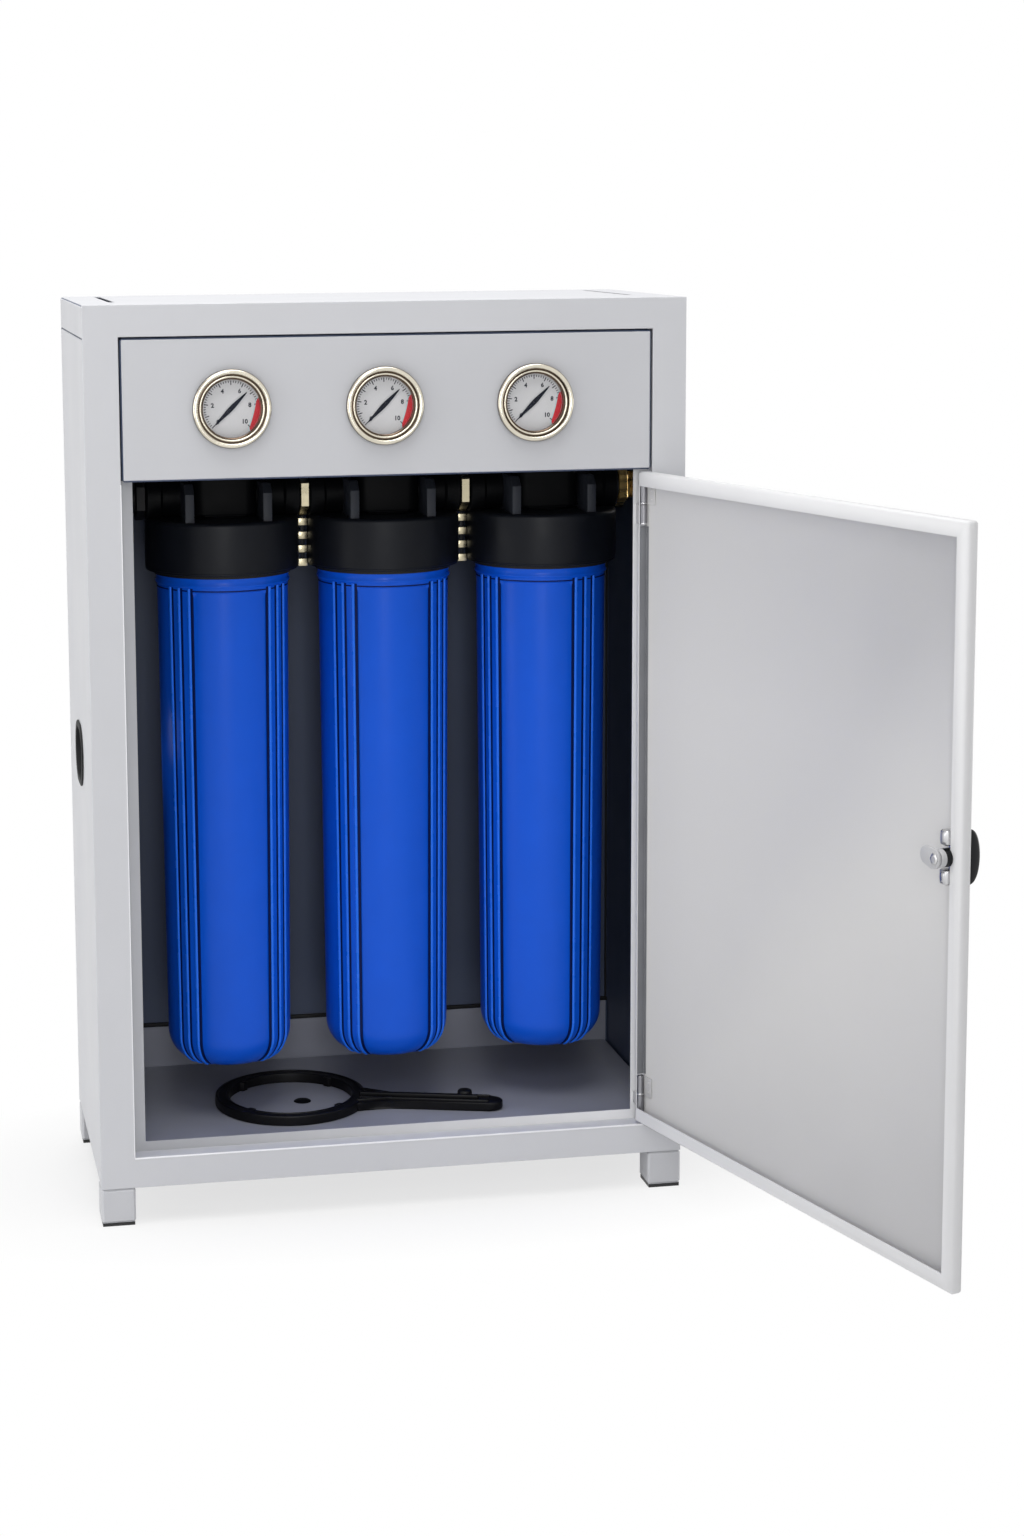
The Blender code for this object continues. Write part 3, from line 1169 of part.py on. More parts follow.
def make_outlet(root):
    """Hex outlet fitting on the right cap, ending in front of the hole in the right side."""
    port_end = housing_x(HOUSING_COUNT - 1) + SKIRT_RADIUS
    start = port_end - THREAD_LENGTH
    fitting = cylinder("outlet_fitting", THREAD_RADIUS, start, OUTLET_END, BRASS)
    ring = hexagon("outlet_hex", port_end + GAP, port_end + GAP + HEX_WIDTH)
    bore = cylinder("outlet_fitting_bore", FITTING_BORE, start - OVERRUN, OUTLET_END + OVERRUN, BRASS, TINY_STEPS)
    for item in (fitting, ring, bore):
        place(item, root, (0, HOUSING_Y, PORT_Z), (0, math.pi / 2, 0))
    join(fitting, ring)
    cut(fitting, bore)


def make_inlet(root):
    """Inlet elbow on the left cap, turned down towards the pipe hole in the left side."""
    port_end = housing_x(0) - SKIRT_RADIUS
    hex_end = port_end - GAP - HEX_WIDTH
    bend_x = hex_end - ELBOW_BEND
    low_z = PORT_Z - ELBOW_BEND - ELBOW_LEG
    corners = [(hex_end + EDGE_ROUND, HOUSING_Y, PORT_Z), (bend_x, HOUSING_Y, PORT_Z), (bend_x, HOUSING_Y, low_z)]
    elbow = baked(tube("inlet_elbow", filleted_path(corners, ELBOW_BEND), ELBOW_RADIUS, BRASS, 3))
    elbow.parent = root
    thread = cylinder("inlet_thread", THREAD_RADIUS, hex_end, port_end + THREAD_LENGTH, BRASS)
    ring = hexagon("inlet_hex", hex_end, hex_end + HEX_WIDTH)
    for item in (thread, ring):
        place(item, root, (0, HOUSING_Y, PORT_Z), (0, math.pi / 2, 0))
    collar = cylinder("inlet_collar", ELBOW_COLLAR_RADIUS, low_z, low_z + ELBOW_COLLAR_HEIGHT, BRASS)
    place(collar, root, (bend_x, HOUSING_Y, 0))
    join(elbow, thread, ring, collar)
    bore_corners = [(port_end + THREAD_LENGTH + OVERRUN, HOUSING_Y, PORT_Z), (bend_x, HOUSING_Y, PORT_Z),
                    (bend_x, HOUSING_Y, low_z - OVERRUN)]
    bore = baked(tube("inlet_bore", filleted_path(bore_corners, ELBOW_BEND), FITTING_BORE, BRASS))
    bore.parent = root
    cut(elbow, bore)


def make_head_bracket(root):
    """Steel angle on the back panel that the caps are screwed to from above."""
    front = HOUSING_Y + BRACKET_FRONT_CLEARANCE
    back = CABINET_DEPTH - SHEET - GAP
    low = HEAD_TOP_Z + GAP
    outline = [(front, low), (back, low), (back, low + BRACKET_RISE),
               (back - BRACKET_THICKNESS, low + BRACKET_RISE),
               (back - BRACKET_THICKNESS, low + BRACKET_THICKNESS), (front, low + BRACKET_THICKNESS)]
    width = 2 * (SIDE_INNER - SIDE_FLANGE - BRACKET_END_MARGIN)
    angle = plate("head_bracket", outline, width, ZINC)
    place(angle, root, (0, 0, 0), (math.pi / 2, 0, math.pi / 2))


# Spanner

def make_spanner(root):
    """Sump spanner: a toothed ring with a ribbed handle, lying on the floor tray."""
    axis = frame_empty("spanner_axis", root, (SPANNER_X, SPANNER_Y, FLOOR_HEIGHT + GAP), (0, 0, SPANNER_ANGLE))
    middle = SPANNER_THICKNESS / 2
    ring_steps = BIG_STEPS - 1
    full_turn = 2 * math.pi * ring_steps / BIG_STEPS
    spanner = plate("sump_spanner", arc((0, 0), SPANNER_OUTER, 0, full_turn, ring_steps), SPANNER_THICKNESS,
                    SPANNER_BLACK, [arc((0, 0), SPANNER_INNER, 0, full_turn, ring_steps)])
    place(spanner, axis, (0, 0, middle))

    radius = (SPANNER_OUTER + SPANNER_INNER) / 2
    start = radius
    end = SPANNER_OUTER + SPANNER_HANDLE_LENGTH
    half_width = SPANNER_HANDLE_WIDTH / 2
    handle_outline = [(start, -half_width), *arc((end - half_width, 0), half_width, -math.pi / 2, math.pi / 2, 6),
                      (start, half_width)]
    handle = plate("spanner_handle", handle_outline, SPANNER_THICKNESS - GAP, SPANNER_BLACK)
    place(handle, axis, (0, 0, middle))
    bevel(handle, HANDLE_ROUND / 2)
    rib = box("spanner_rib", (SPANNER_OUTER, -SPANNER_RIB_WIDTH / 2, middle),
              (end - SPANNER_HANDLE_WIDTH, SPANNER_RIB_WIDTH / 2, SPANNER_THICKNESS + SPANNER_RIB_HEIGHT),
              SPANNER_BLACK)
    rib.parent = axis
    knob = cylinder("spanner_knob", SPANNER_KNOB_RADIUS, middle, SPANNER_THICKNESS + SPANNER_KNOB_HEIGHT,
                    SPANNER_BLACK, TINY_STEPS)
    place(knob, axis, (end - SPANNER_HANDLE_WIDTH, 0, 0))
    join(spanner, handle, rib, knob)
    for tooth in range(SPANNER_TEETH):
        angle = math.pi / SPANNER_TEETH + tooth * 2 * math.pi / SPANNER_TEETH
        lug = box(f"spanner_tooth_{tooth + 1}",
                  (SPANNER_INNER - SPANNER_TOOTH_DEPTH, -SPANNER_TOOTH_WIDTH / 2, 2 * GAP),
                  (radius, SPANNER_TOOTH_WIDTH / 2, SPANNER_THICKNESS - 2 * GAP), SPANNER_BLACK)
        turn = Matrix.Rotation(angle, 4, "Z")
        place(lug, axis, turn @ lug.location, (0, 0, angle))
        join(spanner, lug)


def main():
    """Build the whole part."""
    centre_x, centre_y = footprint_centre()
    root = frame_empty("cabinet_frame", None, (-centre_x, -centre_y, 0))
    make_front_frame(root)
    make_door_rabbet(root)
    make_sides(root)
    make_back_panel(root)
    make_top_cover(root)
    make_floor_tray(root)
    make_feet(root)
    make_gauge_panel(root)
    for number in range(1, HOUSING_COUNT + 1):
        make_gauge(root, number)
        make_gauge_tube(root, number)
    make_door(root)
    make_housings(root)
    for number in range(1, HOUSING_COUNT):
        make_nipple(root, number)
        make_strap(root, number)
    make_outlet(root)
    make_inlet(root)
    make_head_bracket(root)
    make_spanner(root)


main()
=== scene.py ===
"""Looks of a whole house water filter: three housings in a sheet steel cabinet with its door open.

Blender 4.5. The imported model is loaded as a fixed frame, and finished pieces are built round it. Sizes are
in metres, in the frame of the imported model. MM turns millimetres into metres.
"""

from __future__ import annotations

import json
import logging
import math
from dataclasses import dataclass, field
from enum import Enum

import bmesh
import bpy
from mathutils import Matrix, Vector

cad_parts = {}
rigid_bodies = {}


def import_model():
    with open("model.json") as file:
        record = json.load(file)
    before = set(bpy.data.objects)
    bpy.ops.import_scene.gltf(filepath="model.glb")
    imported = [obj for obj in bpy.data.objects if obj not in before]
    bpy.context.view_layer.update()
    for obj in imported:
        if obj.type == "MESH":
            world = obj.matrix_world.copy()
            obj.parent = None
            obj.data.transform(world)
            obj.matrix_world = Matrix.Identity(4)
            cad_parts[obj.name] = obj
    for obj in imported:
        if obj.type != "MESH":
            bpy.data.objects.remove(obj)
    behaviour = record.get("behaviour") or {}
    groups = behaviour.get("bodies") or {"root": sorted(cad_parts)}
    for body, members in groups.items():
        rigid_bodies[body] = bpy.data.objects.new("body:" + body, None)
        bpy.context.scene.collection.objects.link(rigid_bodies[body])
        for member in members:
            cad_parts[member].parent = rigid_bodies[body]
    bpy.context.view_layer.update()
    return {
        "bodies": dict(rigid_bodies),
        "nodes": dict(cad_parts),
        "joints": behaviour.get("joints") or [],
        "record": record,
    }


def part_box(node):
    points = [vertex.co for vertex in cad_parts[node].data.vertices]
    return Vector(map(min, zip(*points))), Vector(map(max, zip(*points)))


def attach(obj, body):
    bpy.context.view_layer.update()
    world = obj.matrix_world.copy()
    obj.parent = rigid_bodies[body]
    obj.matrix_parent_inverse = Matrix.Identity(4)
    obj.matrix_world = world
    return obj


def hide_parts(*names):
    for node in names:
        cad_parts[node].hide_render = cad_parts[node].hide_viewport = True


Colour = tuple[float, float, float]
Point = tuple[float, float, float]
Profile = list[tuple[float, float]]
Item = bpy.types.Object
Material = bpy.types.Material
Mesh = bmesh.types.BMesh
Node = bpy.types.Node
Socket = bpy.types.NodeSocket
Tree = bpy.types.NodeTree

LOG = logging.getLogger("water_filter")
MM = 0.001
MERGE_DISTANCE = 1e-7
POLE_RADIUS = 1e-6
HOUSINGS = (1, 2, 3)
SIDES = (-1, 1)


class Slot(Enum):
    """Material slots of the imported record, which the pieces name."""

    PAINT = "light_grey_powder_coat"
    BLACK = "black_cap_plastic"
    BLUE = "blue_sump_plastic"
    RUBBER = "seal_rubber"
    RED = "red_button_plastic"
    BRASS = "brass"
    COPPER = "copper_tube"
    ZINC = "zinc_plated_steel"
    NICKEL = "polished_nickel"
    DIAL = "dial_light_grey"
    NEEDLE = "needle_dark_blue"
    SPANNER = "black_spanner_plastic"


# Node trees


class Graph:
    """A node tree with short calls that add nodes and link their sockets."""

    def __init__(self, tree: Tree) -> None:
        """Keep the tree that the calls work on."""
        self.tree = tree

    def feed(self, socket: Socket, value: object) -> None:
        """Link an input to another socket, or give it a plain value.

        Args:
            socket: The input.
            value: The other socket, or the value.
        """
        if isinstance(value, Socket):
            self.tree.links.new(value, socket)
        else:
            socket.default_value = value

    def add(self, kind: str, inputs: dict | None = None, **settings: object) -> Node:
        """Add a node.

        Args:
            kind: The node's type name.
            inputs: Values or linked sockets by input name or number.
            settings: Properties of the node.

        Returns:
            The new node.
        """
        node = self.tree.nodes.new(kind)
        for name, value in settings.items():
            setattr(node, name, value)
        for key, value in (inputs or {}).items():
            self.feed(node.inputs[key], value)
        return node

    def math(self, operation: str, first: object, second: object = 0.0, clamp: bool = False) -> Socket:
        """Add a Math node.

        Args:
            operation: The operation's name.
            first: First value or socket.
            second: Second value or socket.
            clamp: Whether the result is held between 0 and 1.

        Returns:
            The output socket.
        """
        settings = {"operation": operation, "use_clamp": clamp}
        return self.add("ShaderNodeMath", {0: first, 1: second}, **settings).outputs[0]

    def vector(self, operation: str, first: object, second: object = (0, 0, 0)) -> Node:
        """Add a Vector Math node.

        Args:
            operation: The operation's name.
            first: First vector or socket.
            second: Second vector or socket.

        Returns:
            The node.
        """
        return self.add("ShaderNodeVectorMath", {0: first, 1: second}, operation=operation)

    def mix(self, factor: object, first: object, second: object, blend: str = "MIX") -> Socket:
        """Add a colour Mix node.

        Args:
            factor: Share of the second colour.
            first: First colour or socket.
            second: Second colour or socket.
            blend: Blend type.

        Returns:
            The output socket.
        """
        node = self.add("ShaderNodeMix", data_type="RGBA", blend_type=blend)
        for number, value in ((0, factor), (6, first), (7, second)):
            self.feed(node.inputs[number], (*value, 1.0) if isinstance(value, tuple) else value)
        return node.outputs[2]

    def noise(self, vector: object, scale: float, detail: float = 2.0) -> Socket:
        """Add a noise texture.

        Args:
            vector: Coordinates.
            scale: Features per metre.
            detail: Octaves.

        Returns:
            The value's socket.
        """
        return self.add("ShaderNodeTexNoise", {"Vector": vector, "Scale": scale, "Detail": detail}).outputs[0]

    def spread(self, value: object, low: float, high: float, to_low: float = 0.0,
               to_high: float = 1.0) -> Socket:
        """Add a Map Range node.

        Args:
            value: The value that is mapped.
            low: Value that becomes to_low.
            high: Value that becomes to_high.
            to_low: Result at low.
            to_high: Result at high.

        Returns:
            The result's socket.
        """
        return self.add("ShaderNodeMapRange", {0: value, 1: low, 2: high, 3: to_low, 4: to_high}).outputs[0]

    def axes(self, vector: Socket) -> list[Socket]:
        """Return the X, Y and Z of a vector."""
        return list(self.add("ShaderNodeSeparateXYZ", {0: vector}).outputs)

    def place(self) -> Socket:
        """Return the Object coordinates."""
        return self.add("ShaderNodeTexCoord").outputs["Object"]

    def rays(self, *kinds: str) -> Socket:
        """Tell some kinds of light ray from all others.

        Args:
            kinds: Outputs of Light Path, such as Is Camera Ray.

        Returns:
            A socket that is 1 on rays of these kinds.
        """
        path = self.add("ShaderNodeLightPath").outputs
        found = path[kinds[0]]
        for kind in kinds[1:]:
            found = self.math("MAXIMUM", found, path[kind])
        return found


def new_group(name: str, kind: str, inputs: list[tuple[str, str, object]],
              outputs: list[tuple[str, str]]) -> tuple[Graph, Node, Node]:
    """Start a node group with named sockets.

    Args:
        name: Name of the group.
        kind: Type of node tree.
        inputs: Name, type and default of each input.
        outputs: Name and type of each output.

    Returns:
        The group's graph, its input node and its output node.
    """
    tree = bpy.data.node_groups.new(name, kind)
    for title, socket, default in inputs:
        made = tree.interface.new_socket(name=title, in_out="INPUT", socket_type=f"NodeSocket{socket}")
        if default is not None:
            made.default_value = default
    for title, socket in outputs:
        tree.interface.new_socket(name=title, in_out="OUTPUT", socket_type=f"NodeSocket{socket}")
    graph = Graph(tree)
    return graph, graph.add("NodeGroupInput"), graph.add("NodeGroupOutput")


class Effect(Enum):
    """Shader node groups that several finishes share."""

    PEEL = "orange_peel_of_powder_coat"
    MOULD = "moulded_plastic_grain"
    STREAKS = "machining_streaks"
    DUST = "settled_dust"
    INSIDE = "inside_a_box"
    SCUFFS = "scuffs_along_a_corner"


class Effects:
    """The shader node groups, each built once. Scales are in features per metre."""

    def __init__(self) -> None:
        """Build every group."""
        self.trees = {
            Effect.PEEL: self._grain(Effect.PEEL, coarse=420.0, fine=1500.0, cloud=9.0),
            Effect.MOULD: self._grain(Effect.MOULD, coarse=900.0, fine=3200.0, cloud=26.0),
            Effect.STREAKS: self._streaks(),
            Effect.DUST: self._dust(),
            Effect.INSIDE: self._inside(),
            Effect.SCUFFS: self._scuffs(),
        }

    @staticmethod
    def _start(effect: Effect, inputs: list[tuple[str, str, object]],
               *outputs: str) -> tuple[Graph, Socket, Socket, Node]:
        """Start the group of an effect that reads coordinates.

        Args:
            effect: Which effect the group is.
            inputs: Name, type and default of the inputs after the coordinates.
            outputs: Names of the outputs, which are plain numbers.

        Returns:
            The group's graph, its coordinates, its second input and its output node.
        """
        graph, start, end = new_group(
            effect.value, "ShaderNodeTree", [("Coordinates", "Vector", None), *inputs],
            [(name, "Float") for name in outputs])
        return graph, start.outputs[0], start.outputs[1], end

    def _grain(self, effect: Effect, coarse: float, fine: float, cloud: float) -> Tree:
        """Build a surface grain with a slow change of tone.

        Args:
            effect: Which effect the group is.
            coarse: Scale of the coarse grain.
            fine: Scale of the fine grain.
            cloud: Scale of the change of tone.

        Returns:
            The group.
        """
        graph, place, size, end = self._start(effect, [("Grain size", "Float", 1.0)], "Height", "Tone")
        sized = graph.vector("SCALE", place)
        graph.feed(sized.inputs["Scale"], graph.math("DIVIDE", 1.0, size))
        lumps = graph.noise(sized.outputs[0], coarse, detail=1.0)
        specks = graph.noise(sized.outputs[0], fine)
        height = graph.math("ADD", graph.math("MULTIPLY", lumps, 0.7), graph.math("MULTIPLY", specks, 0.3))
        graph.feed(end.inputs[0], height)
        tone = graph.spread(graph.noise(place, cloud, detail=3.0), low=0.3, high=0.7, to_low=-1.0)
        graph.feed(end.inputs[1], tone)
        return graph.tree

    def _streaks(self) -> Tree:
        """Build fine lines that run round or along a metal piece.

        Returns:
            The group's tree.
        """
        graph, place, stretch, end = self._start(
            Effect.STREAKS, [("Stretch", "Vector", (1.0, 1.0, 1.0))], "Height", "Tone")
        stretched = graph.vector("MULTIPLY", place, stretch).outputs[0]
        lines = graph.noise(stretched, scale=900.0, detail=3.0)
        bands = graph.noise(stretched, scale=160.0)
        graph.feed(end.inputs[0], graph.math("ADD", lines, bands))
        graph.feed(end.inputs[1], graph.spread(bands, low=0.3, high=0.7, to_low=-1.0))
        return graph.tree

    def _dust(self) -> Tree:
        """Build a mask of fine dust on faces that look up.

        Returns:
            The group's tree.
        """
        graph, place, amount, end = self._start(Effect.DUST, [("Amount", "Float", 0.2)], "Mask")
        up = graph.axes(graph.add("ShaderNodeNewGeometry").outputs["Normal"])[2]
        level = graph.spread(up, low=0.35, high=0.95)
        patches = graph.spread(graph.noise(place, scale=38.0, detail=6.0), low=0.35, high=0.7)
        mask = graph.math("MULTIPLY", graph.math("MULTIPLY", level, patches), amount, clamp=True)
        graph.feed(end.inputs[0], mask)
        return graph.tree

    def _inside(self) -> Tree:
        """Build a mask that is 1 between two corners and 0 outside them.

        Returns:
            The group's tree.
        """
        graph, start, end = new_group(
            Effect.INSIDE.value, "ShaderNodeTree",
            [("Coordinates", "Vector", None), ("Low", "Vector", (-1.0, -1.0, -1.0)),
             ("High", "Vector", (1.0, 1.0, 1.0))], [("Mask", "Float")])
        above = graph.vector("SUBTRACT", start.outputs[0], start.outputs[1]).outputs[0]
        below = graph.vector("SUBTRACT", start.outputs[2], start.outputs[0]).outputs[0]
        across, along, height = graph.axes(graph.vector("MINIMUM", above, below).outputs[0])
        least = graph.math("MINIMUM", graph.math("MINIMUM", across, along), height)
        graph.feed(end.inputs[0], graph.math("GREATER_THAN", least, 0.0))
        return graph.tree

    def _scuffs(self) -> Tree:
        """Build broken scratches near an upright plane at a given X.

        Returns:
            The group's tree.
        """
        graph, start, end = new_group(
            Effect.SCUFFS.value, "ShaderNodeTree",
            [("Coordinates", "Vector", None), ("Place", "Float", 0.0), ("Width", "Float", 0.004)],
            [("Mask", "Float")])
        away = graph.math("SUBTRACT", graph.axes(start.outputs[0])[0], start.outputs[1])
        near = graph.math("LESS_THAN", graph.math("ABSOLUTE", away), start.outputs[2])
        broken = graph.spread(graph.noise(start.outputs[0], scale=190.0, detail=4.0), low=0.5, high=0.6)
        graph.feed(end.inputs[0], graph.math("MULTIPLY", near, broken, clamp=True))
        return graph.tree


# Finishes

DUST_GREY: Colour = (0.34, 0.33, 0.31)
DUST_ROUGHNESS = 0.4
BUMP_STRENGTH = 0.35


@dataclass(frozen=True)
class Finish:
    """What every finish has: a colour with a slow change of tone, a roughness and a fine grain."""

    name: str
    colour: Colour
    roughness: float
    metallic: float = 0.0
    specular: float = 0.5
    coat: float = 0.0
    coat_roughness: float = 0.1
    effect: Effect = Effect.MOULD
    grain_size: float = 1.0
    grain_height: float = 0.02
    tone: float = 0.03
    gloss_change: float = 0.06
    dust: float = 0.0
    stretch: Point = (1.0, 1.0, 1.0)

    def base(self, graph: Graph, effects: Effects, place: Socket, tone: Socket) -> Socket:
        """Colour of the finish before dust.

        Args:
            graph: The material's graph.
            effects: The shared groups, not used.
            place: Object coordinates, not used.
            tone: Slow change of tone, from -1 to 1.

        Returns:
            The colour's socket.
        """
        factor = graph.math("ADD", graph.math("MULTIPLY", tone, self.tone), 1.0)
        grey = graph.add("ShaderNodeCombineColor", {0: factor, 1: factor, 2: factor}).outputs[0]
        return graph.mix(1.0, self.colour, grey, "MULTIPLY")

    def group(self, graph: Graph, effects: Effects, effect: Effect, **values: object) -> Node:
        """Place a shared group in the material.

        Args:
            graph: The material's graph.
            effects: The shared groups.
            effect: Which group.
            values: Inputs by name, a blank written as an underscore.

        Returns:
            The group's node.
        """
        node = graph.add("ShaderNodeGroup", node_tree=effects.trees[effect])
        for key, value in values.items():
            graph.feed(node.inputs[key.replace("_", " ").capitalize()], value)
        return node

    def build(self, effects: Effects) -> Material:
        """Build the material.

        Args:
            effects: The shared groups.

        Returns:
            The material.
        """
        material = bpy.data.materials.new(self.name)
        material.use_nodes = True
        graph = Graph(material.node_tree)
        shader = material.node_tree.nodes["Principled BSDF"]
        place = graph.place()
        size = {"stretch": self.stretch} if self.effect is Effect.STREAKS else {"grain_size": self.grain_size}
        height, tone = self.group(graph, effects, self.effect, coordinates=place, **size).outputs
        colour = self.base(graph, effects, place, tone)
        rough = graph.math("ADD", graph.math("MULTIPLY", tone, self.gloss_change), self.roughness, True)
        if self.dust:
            mask = self.group(graph, effects, Effect.DUST, coordinates=place, amount=self.dust).outputs[0]
            colour = graph.mix(mask, colour, DUST_GREY)
            rough = graph.math("ADD", rough, graph.math("MULTIPLY", mask, DUST_ROUGHNESS), True)
        bump = graph.add("ShaderNodeBump", {"Strength": BUMP_STRENGTH, "Distance": self.grain_height * MM,
                                            "Height": height})
        for name, value in (("Base Color", colour), ("Roughness", rough), ("Normal", bump.outputs[0]),
                            ("Metallic", self.metallic), ("Specular IOR Level", self.specular),
                            ("Coat Weight", self.coat), ("Coat Roughness", self.coat_roughness)):
            graph.feed(shader.inputs[name], value)
        return material


@dataclass(frozen=True)
class PowderCoat(Finish):
    """Satin powder coat with a fine orange peel."""

    specular: float = 0.4
    effect: Effect = Effect.PEEL
    grain_height: float = 0.05
    tone: float = 0.012


@dataclass(frozen=True)
class Metal(Finish):
    """Bare or plated metal with fine machining streaks."""

    metallic: float = 1.0
    effect: Effect = Effect.STREAKS


@dataclass(frozen=True)
class InsideShadePaint(PowderCoat):
    """Powder coat with painted shade on the faces inside the cabinet, which get a darker colour."""

    # Painted shade: this darker colour stands in for the shade inside the cabinet.
    inside: Colour = (0.060, 0.078, 0.130)
    low: Point = (-1.0, -1.0, -1.0)
    high: Point = (1.0, 1.0, 1.0)

    def base(self, graph: Graph, effects: Effects, place: Socket, tone: Socket) -> Socket:
        """Colour outside the given corners, and painted shade inside them, with the arguments of Finish.base.
        """
        outside = super().base(graph, effects, place, tone)
        mask = self.group(graph, effects, Effect.INSIDE, coordinates=place, low=self.low, high=self.high)
        return graph.mix(mask.outputs[0], outside, self.inside)


@dataclass(frozen=True)
class TrayPaint(PowderCoat):
    """Paint of the floor tray, darkened as painted shade, with scuffs in its corners."""

    places: tuple[float, ...] = ()
    scuff: Colour = (0.30, 0.31, 0.33)
    scuff_width: float = 3.5 * MM

    def base(self, graph: Graph, effects: Effects, place: Socket, tone: Socket) -> Socket:
        """Colour with scuffs at the given places.

        Args:
            graph: The material's graph.
            effects: The shared groups.
            place: Object coordinates.
            tone: Slow change of tone, from -1 to 1.

        Returns:
            The colour's socket.
        """
        colour = super().base(graph, effects, place, tone)
        for where in self.places:
            mask = self.group(graph, effects, Effect.SCUFFS, coordinates=place, place=where,
                              width=self.scuff_width)
            colour = graph.mix(mask.outputs[0], colour, self.scuff)
        return colour


@dataclass(frozen=True)
class PaintedLightFade(Finish):
    """Finish whose colour changes evenly along one axis of the object, as painted light and shade."""

    axis: int = 1
    start: float = 0.0
    end: float = 1.0
    other: Colour = (0.16, 0.13, 0.10)

    def base(self, graph: Graph, effects: Effects, place: Socket, tone: Socket) -> Socket:
        """Colour from one end to the other, with the arguments of Finish.base."""
        first = super().base(graph, effects, place, tone)
        share = graph.spread(graph.axes(place)[self.axis], self.start, self.end)
        return graph.mix(share, first, self.other)


@dataclass(frozen=True)
class PadFoot(PowderCoat):
    """Painted foot with a black pad below a given height."""

    pad: Colour = (0.012, 0.012, 0.013)
    pad_height: float = 4.2 * MM

    def base(self, graph: Graph, effects: Effects, place: Socket, tone: Socket) -> Socket:
        """Colour of the foot and of its pad, with the arguments of Finish.base."""
        colour = super().base(graph, effects, place, tone)
        return graph.mix(graph.math("LESS_THAN", graph.axes(place)[2], self.pad_height), colour, self.pad)


@dataclass(frozen=True)
class Pleats(Finish):
    """Pleated filter media, its fine upright folds round its axis painted as shade."""

    centre: tuple[float, float] = (0.0, 0.0)
    folds: float = 60.0
    shade: Colour = (0.30, 0.29, 0.26)

    def base(self, graph: Graph, effects: Effects, place: Socket, tone: Socket) -> Socket:
        """Colour with painted shade in the folds.

        Args:
            graph: The material's graph.
            effects: The shared groups.
            place: Object coordinates.
            tone: Slow change of tone, from -1 to 1.

        Returns:
            The colour's socket.
        """
        colour = super().base(graph, effects, place, tone)
        axes = graph.axes(place)
        across = graph.math("SUBTRACT", axes[0], self.centre[0])
        along = graph.math("SUBTRACT", axes[1], self.centre[1])
        angle = graph.math("MULTIPLY", graph.math("ARCTAN2", along, across), self.folds)
        fold = graph.spread(graph.math("SINE", angle), low=-1.0, high=1.0, to_high=0.35)
        return graph.mix(fold, colour, self.shade)


@dataclass(frozen=True)
class Glass(Finish):
    """Thin clear window that keeps only a little gloss."""

    alpha: float = 0.05

    def build(self, effects: Effects) -> Material:
        """Build the material from the shared groups, make it clear and return it."""
        material = super().build(effects)
        material.node_tree.nodes["Principled BSDF"].inputs["Alpha"].default_value = self.alpha
        return material


# Mesh helpers


def lathe(profile: Profile, steps: int = 96, closed: bool = False) -> Mesh:
    """Turn a profile round the Z axis.

    Args:
        profile: Pairs of radius and height. A radius of zero makes a pole.
        steps: Facets round the axis.
        closed: Whether the last point joins the first.

    Returns:
        The turned mesh.
    """
    bm = bmesh.new()
    rings = []
    for radius, height in profile:
        if radius < POLE_RADIUS:
            rings.append([bm.verts.new((0, 0, height))])
            continue
        angles = [2 * math.pi * number / steps for number in range(steps)]
        rings.append([bm.verts.new((radius * math.cos(angle), radius * math.sin(angle), height))
                      for angle in angles])
    pairs = list(zip(rings, rings[1:]))
    if closed:
        pairs.append((rings[-1], rings[0]))
    for first, second in pairs:
        for here in range(steps):
            after = (here + 1) % steps
            corners = [first[here % len(first)], first[after % len(first)],
                       second[after % len(second)], second[here % len(second)]]
            unique = list(dict.fromkeys(corners))
            if len(unique) > 2:
                bm.faces.new(unique)
    return bm


def loft(rows: list[list[Vector]]) -> Mesh:
    """Join closed rows of points by faces, and fill the first and the last row.

    Args:
        rows: Rows with the same number of points.

    Returns:
        The lofted mesh.
    """
    bm = bmesh.new()
    made = [[bm.verts.new(point) for point in row] for row in rows]
    count = len(rows[0])
    for first, second in zip(made, made[1:]):
        for here in range(count):
            after = (here + 1) % count
            bm.faces.new((first[here], first[after], second[after], second[here]))
    bm.faces.new(made[0])
    bm.faces.new(made[-1])
    return bm


def block(low: Point, high: Point, radius: float, segments: int = 3) -> Mesh:
    """Make a box with rounded edges.

    Args:
        low: Lowest corner.
        high: Highest corner.
        radius: Radius of the edges.
        segments: Facets of each edge.

    Returns:
        The mesh.
    """
    bm = bmesh.new()
    bmesh.ops.create_cube(bm, size=1.0)
    size = Vector(high) - Vector(low)
    bmesh.ops.scale(bm, vec=size, verts=bm.verts)
    bmesh.ops.translate(bm, vec=(Vector(high) + Vector(low)) / 2, verts=bm.verts)
    bmesh.ops.bevel(bm, geom=bm.edges, offset=radius, segments=segments, affect="EDGES", profile=0.5)
    return bm


def prism(outline: Profile, low: float, high: float, radius: float = 0.0, segments: int = 3) -> Mesh:
    """Raise an outline in XY to a plate.

    Args:
        outline: Corners, without a repeated end.
        low: Height of the under side.
        high: Height of the upper side.
        radius: Radius of the edges round both sides.
        segments: Facets of that radius.

    Returns:
        The mesh.
    """
    bm = loft([[Vector((x, y, low)) for x, y in outline], [Vector((x, y, high)) for x, y in outline]])
    if radius:
        rims = [edge for edge in bm.edges if abs(edge.verts[0].co.z - edge.verts[1].co.z) < MERGE_DISTANCE]
        bmesh.ops.bevel(bm, geom=rims, offset=radius, segments=segments, affect="EDGES", profile=0.5,
                        clamp_overlap=True)
    return bm


